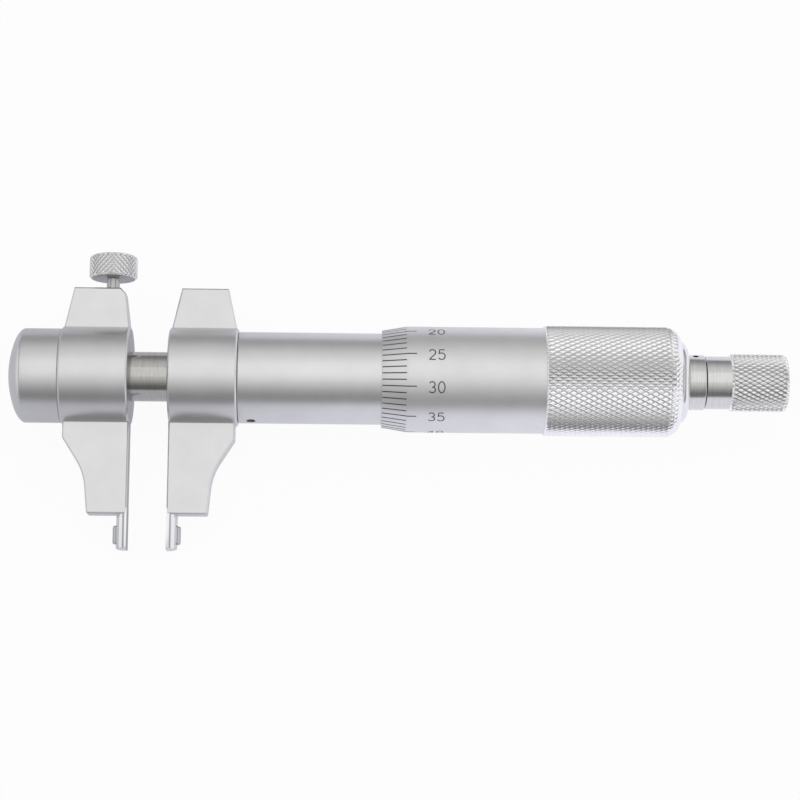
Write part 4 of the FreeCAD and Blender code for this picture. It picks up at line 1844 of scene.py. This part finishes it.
@dataclass(frozen=True)
class Studio:
    """Pale table, light tent and camera."""

    pixels: float = 800.0
    scale: float = 5.88
    distance: float = 2418.4
    yaw: float = 1.2325
    dip: float = 9.38
    tilt: float = 0.6087
    rise: float = 20.59
    middle: float = 57.25
    sensor: float = 36.0
    floor_size: float = 4.0
    shadow_share: float = 0.06
    tent: Stops = (
        (-180, 0.7), (-98, 0.55), (-90, 0.4), (-84, 0.16), (-70, 0.2), (-60, 0.32), (-48, 0.53), (-34, 0.77),
        (-15, 0.86), (20, 0.85), (32, 0.81), (43, 0.74), (57, 0.56), (72, 0.34), (88, 0.27), (98, 0.5), (180, 0.7),
    )
    end_levels: Point = (0.95, 1.0)
    end_stops: Stops = ((0.5, 0.6), (0.62, 0.36), (0.72, 0.36), (0.82, 0.95), (1.0, 1.0))
    glow_reach: Point = (-0.06, 0.03)
    glow_levels: Point = (0.74, 1.18)
    end_edge: Point = (0.48, 0.62)
    aim: float = 0.057
    speck_size: float = 40.0
    paints: tuple[Colour, Colour] = ((0.96, 0.96, 0.965), (0.98, 0.98, 0.985))
    lilac: Colour = (0.80, 0.80, 0.87)
    lamp_place: Triple = (0.06, -0.03, 0.85)
    lamp_size: Point = (1.1, 0.7)
    lamp_level: float = 0.2
    clip: Point = (0.01, 10.0)

    def build(self, low: float) -> None:
        """Builds floor, light and camera.

        Args:
            low: height of the object's lowest point, where the table is.
        """
        self.table(low)
        self.sky()
        self.lamp()
        self.camera()

    def table(self, low: float) -> None:
        """Table top that shows white to the camera and pale lilac in metal, and keeps a soft shadow.

        Args:
            low: height of the table's top.
        """
        half = self.floor_size / 2
        points = np.array([(-half, -half, 0), (half, -half, 0), (half, half, 0), (-half, half, 0)], float)
        mesh = Shell(points, [(0, 1, 2, 3)]).mesh("table_top")
        sheet = NodeSheet(bpy.data.materials.new("table_white"))
        speck = sheet.noise((self.speck_size,) * 3, COARSE_DETAIL)
        paint = sheet.blend(speck, *(rgba(colour) for colour in self.paints))
        dull = sheet.add("BsdfDiffuse", Color=paint)
        glow = sheet.add("Emission", Color=rgba(WHITE), Strength=1.0)
        seat = sheet.add("TexCoord").outputs["Object"]
        across = sheet.add("SeparateXYZ", i0=seat).outputs["X"]
        level = sheet.remap(across, self.glow_reach, self.glow_levels)
        lilac = sheet.add("Emission", Color=rgba(self.lilac), Strength=level)
        seen = sheet.rays("Camera", "Transmission")
        share = sheet.math("MULTIPLY", sheet.rays("Camera", "Transmission", "Glossy"), 1 - self.shadow_share)
        lit = sheet.mixed(seen, lilac, glow)
        sheet.close(sheet.mixed(share, dull, lit))
        sheet.owner.cycles.emission_sampling = "NONE"
        mesh.materials.append(sheet.owner)
        top = added("table_top", mesh)
        top.location = (self.aim, 0.0, low)
        top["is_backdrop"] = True

    def sky(self) -> None:
        """Light tent as the world: bright overhead, dark bands at the sides, white behind the object."""
        world = bpy.data.worlds.new("light_tent")
        bpy.context.scene.world = world
        sheet = NodeSheet(world)
        direction = sheet.add("TexCoord").outputs["Generated"]
        parts = sheet.add("SeparateXYZ", i0=direction).outputs
        turn = sheet.math("ARCTAN2", parts["Y"], parts["Z"])
        share = sheet.remap(turn, (-math.pi, math.pi), (0.0, 1.0))
        around = sheet.ramp(share, [((angle + 180) / 360, level) for angle, level in self.tent])
        away = sheet.math("ABSOLUTE", parts["X"])
        level = sheet.remap(parts["X"], (-1.0, 1.0), self.end_levels)
        ends = sheet.math("MULTIPLY", level, sheet.ramp(away, self.end_stops))
        colour = sheet.blend(sheet.remap(away, self.end_edge, (0.0, 1.0)), around, ends)
        tent = sheet.add("Background", Color=colour)
        white = sheet.add("Background", Color=rgba(WHITE))
        sheet.close(sheet.mixed(sheet.rays("Camera", "Transmission"), tent, white))

    def lamp(self) -> None:
        """Soft panel aimed at the object, whose face shines at the lamp's level."""
        width, depth = self.lamp_size
        data = bpy.data.lights.new("key_lamp", "AREA")
        data.shape = "RECTANGLE"
        data.size, data.size_y = width, depth
        data.energy = math.pi * width * depth * self.lamp_level
        lamp = added("key_lamp", data)
        aim = Vector((self.aim, 0.0, 0.0)) - Vector(self.lamp_place)
        lamp.location = self.lamp_place
        lamp.rotation_euler = aim.to_track_quat("-Z", "Y").to_euler()

    def camera(self) -> None:
        """Camera where the photograph was taken from."""
        turn = Matrix.Identity(4)
        for degrees, axis in ((self.dip, "X"), (-self.yaw, "Y"), (self.tilt, "Z")):
            turn = turn @ Matrix.Rotation(math.radians(degrees), 4, axis)
        place = Vector((self.middle, 0, 0)) + turn @ Vector((0, -self.rise, self.distance)) / self.scale
        data = bpy.data.cameras.new("photo_camera")
        data.sensor_width = self.sensor
        data.lens = self.sensor * self.distance / self.pixels
        data.clip_start, data.clip_end = self.clip
        camera = added("photo_camera", data)
        turn = Matrix.Rotation(ST.roll, 4, "X") @ turn
        camera.matrix_world = Matrix.Translation(ST.lay @ place) @ turn
        bpy.context.scene.camera = camera


def main() -> None:
    """Builds every sub-assembly in order."""
    logging.basicConfig(level=logging.INFO, format="%(message)s")
    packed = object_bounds()
    bpy.context.scene.view_settings.view_transform = "Standard"
    thimble = Thimble()
    parts = [
        Jaw(Side.MOVING, corner_cut=0.95), Jaw(Side.FIXED, corner_cut=0.0), EndCap(), GuideTube(),
        Barrel(), thimble, RatchetStop(thimble.end), LockScrew(), InnerWorks(),
    ]
    for part in parts:
        for piece in part.build():
            LOG.info("%s is in place", piece.name)
    Studio().build(packed[0].z)
    LOG.info("the studio is set")


if __name__ == "__main__":
    main()
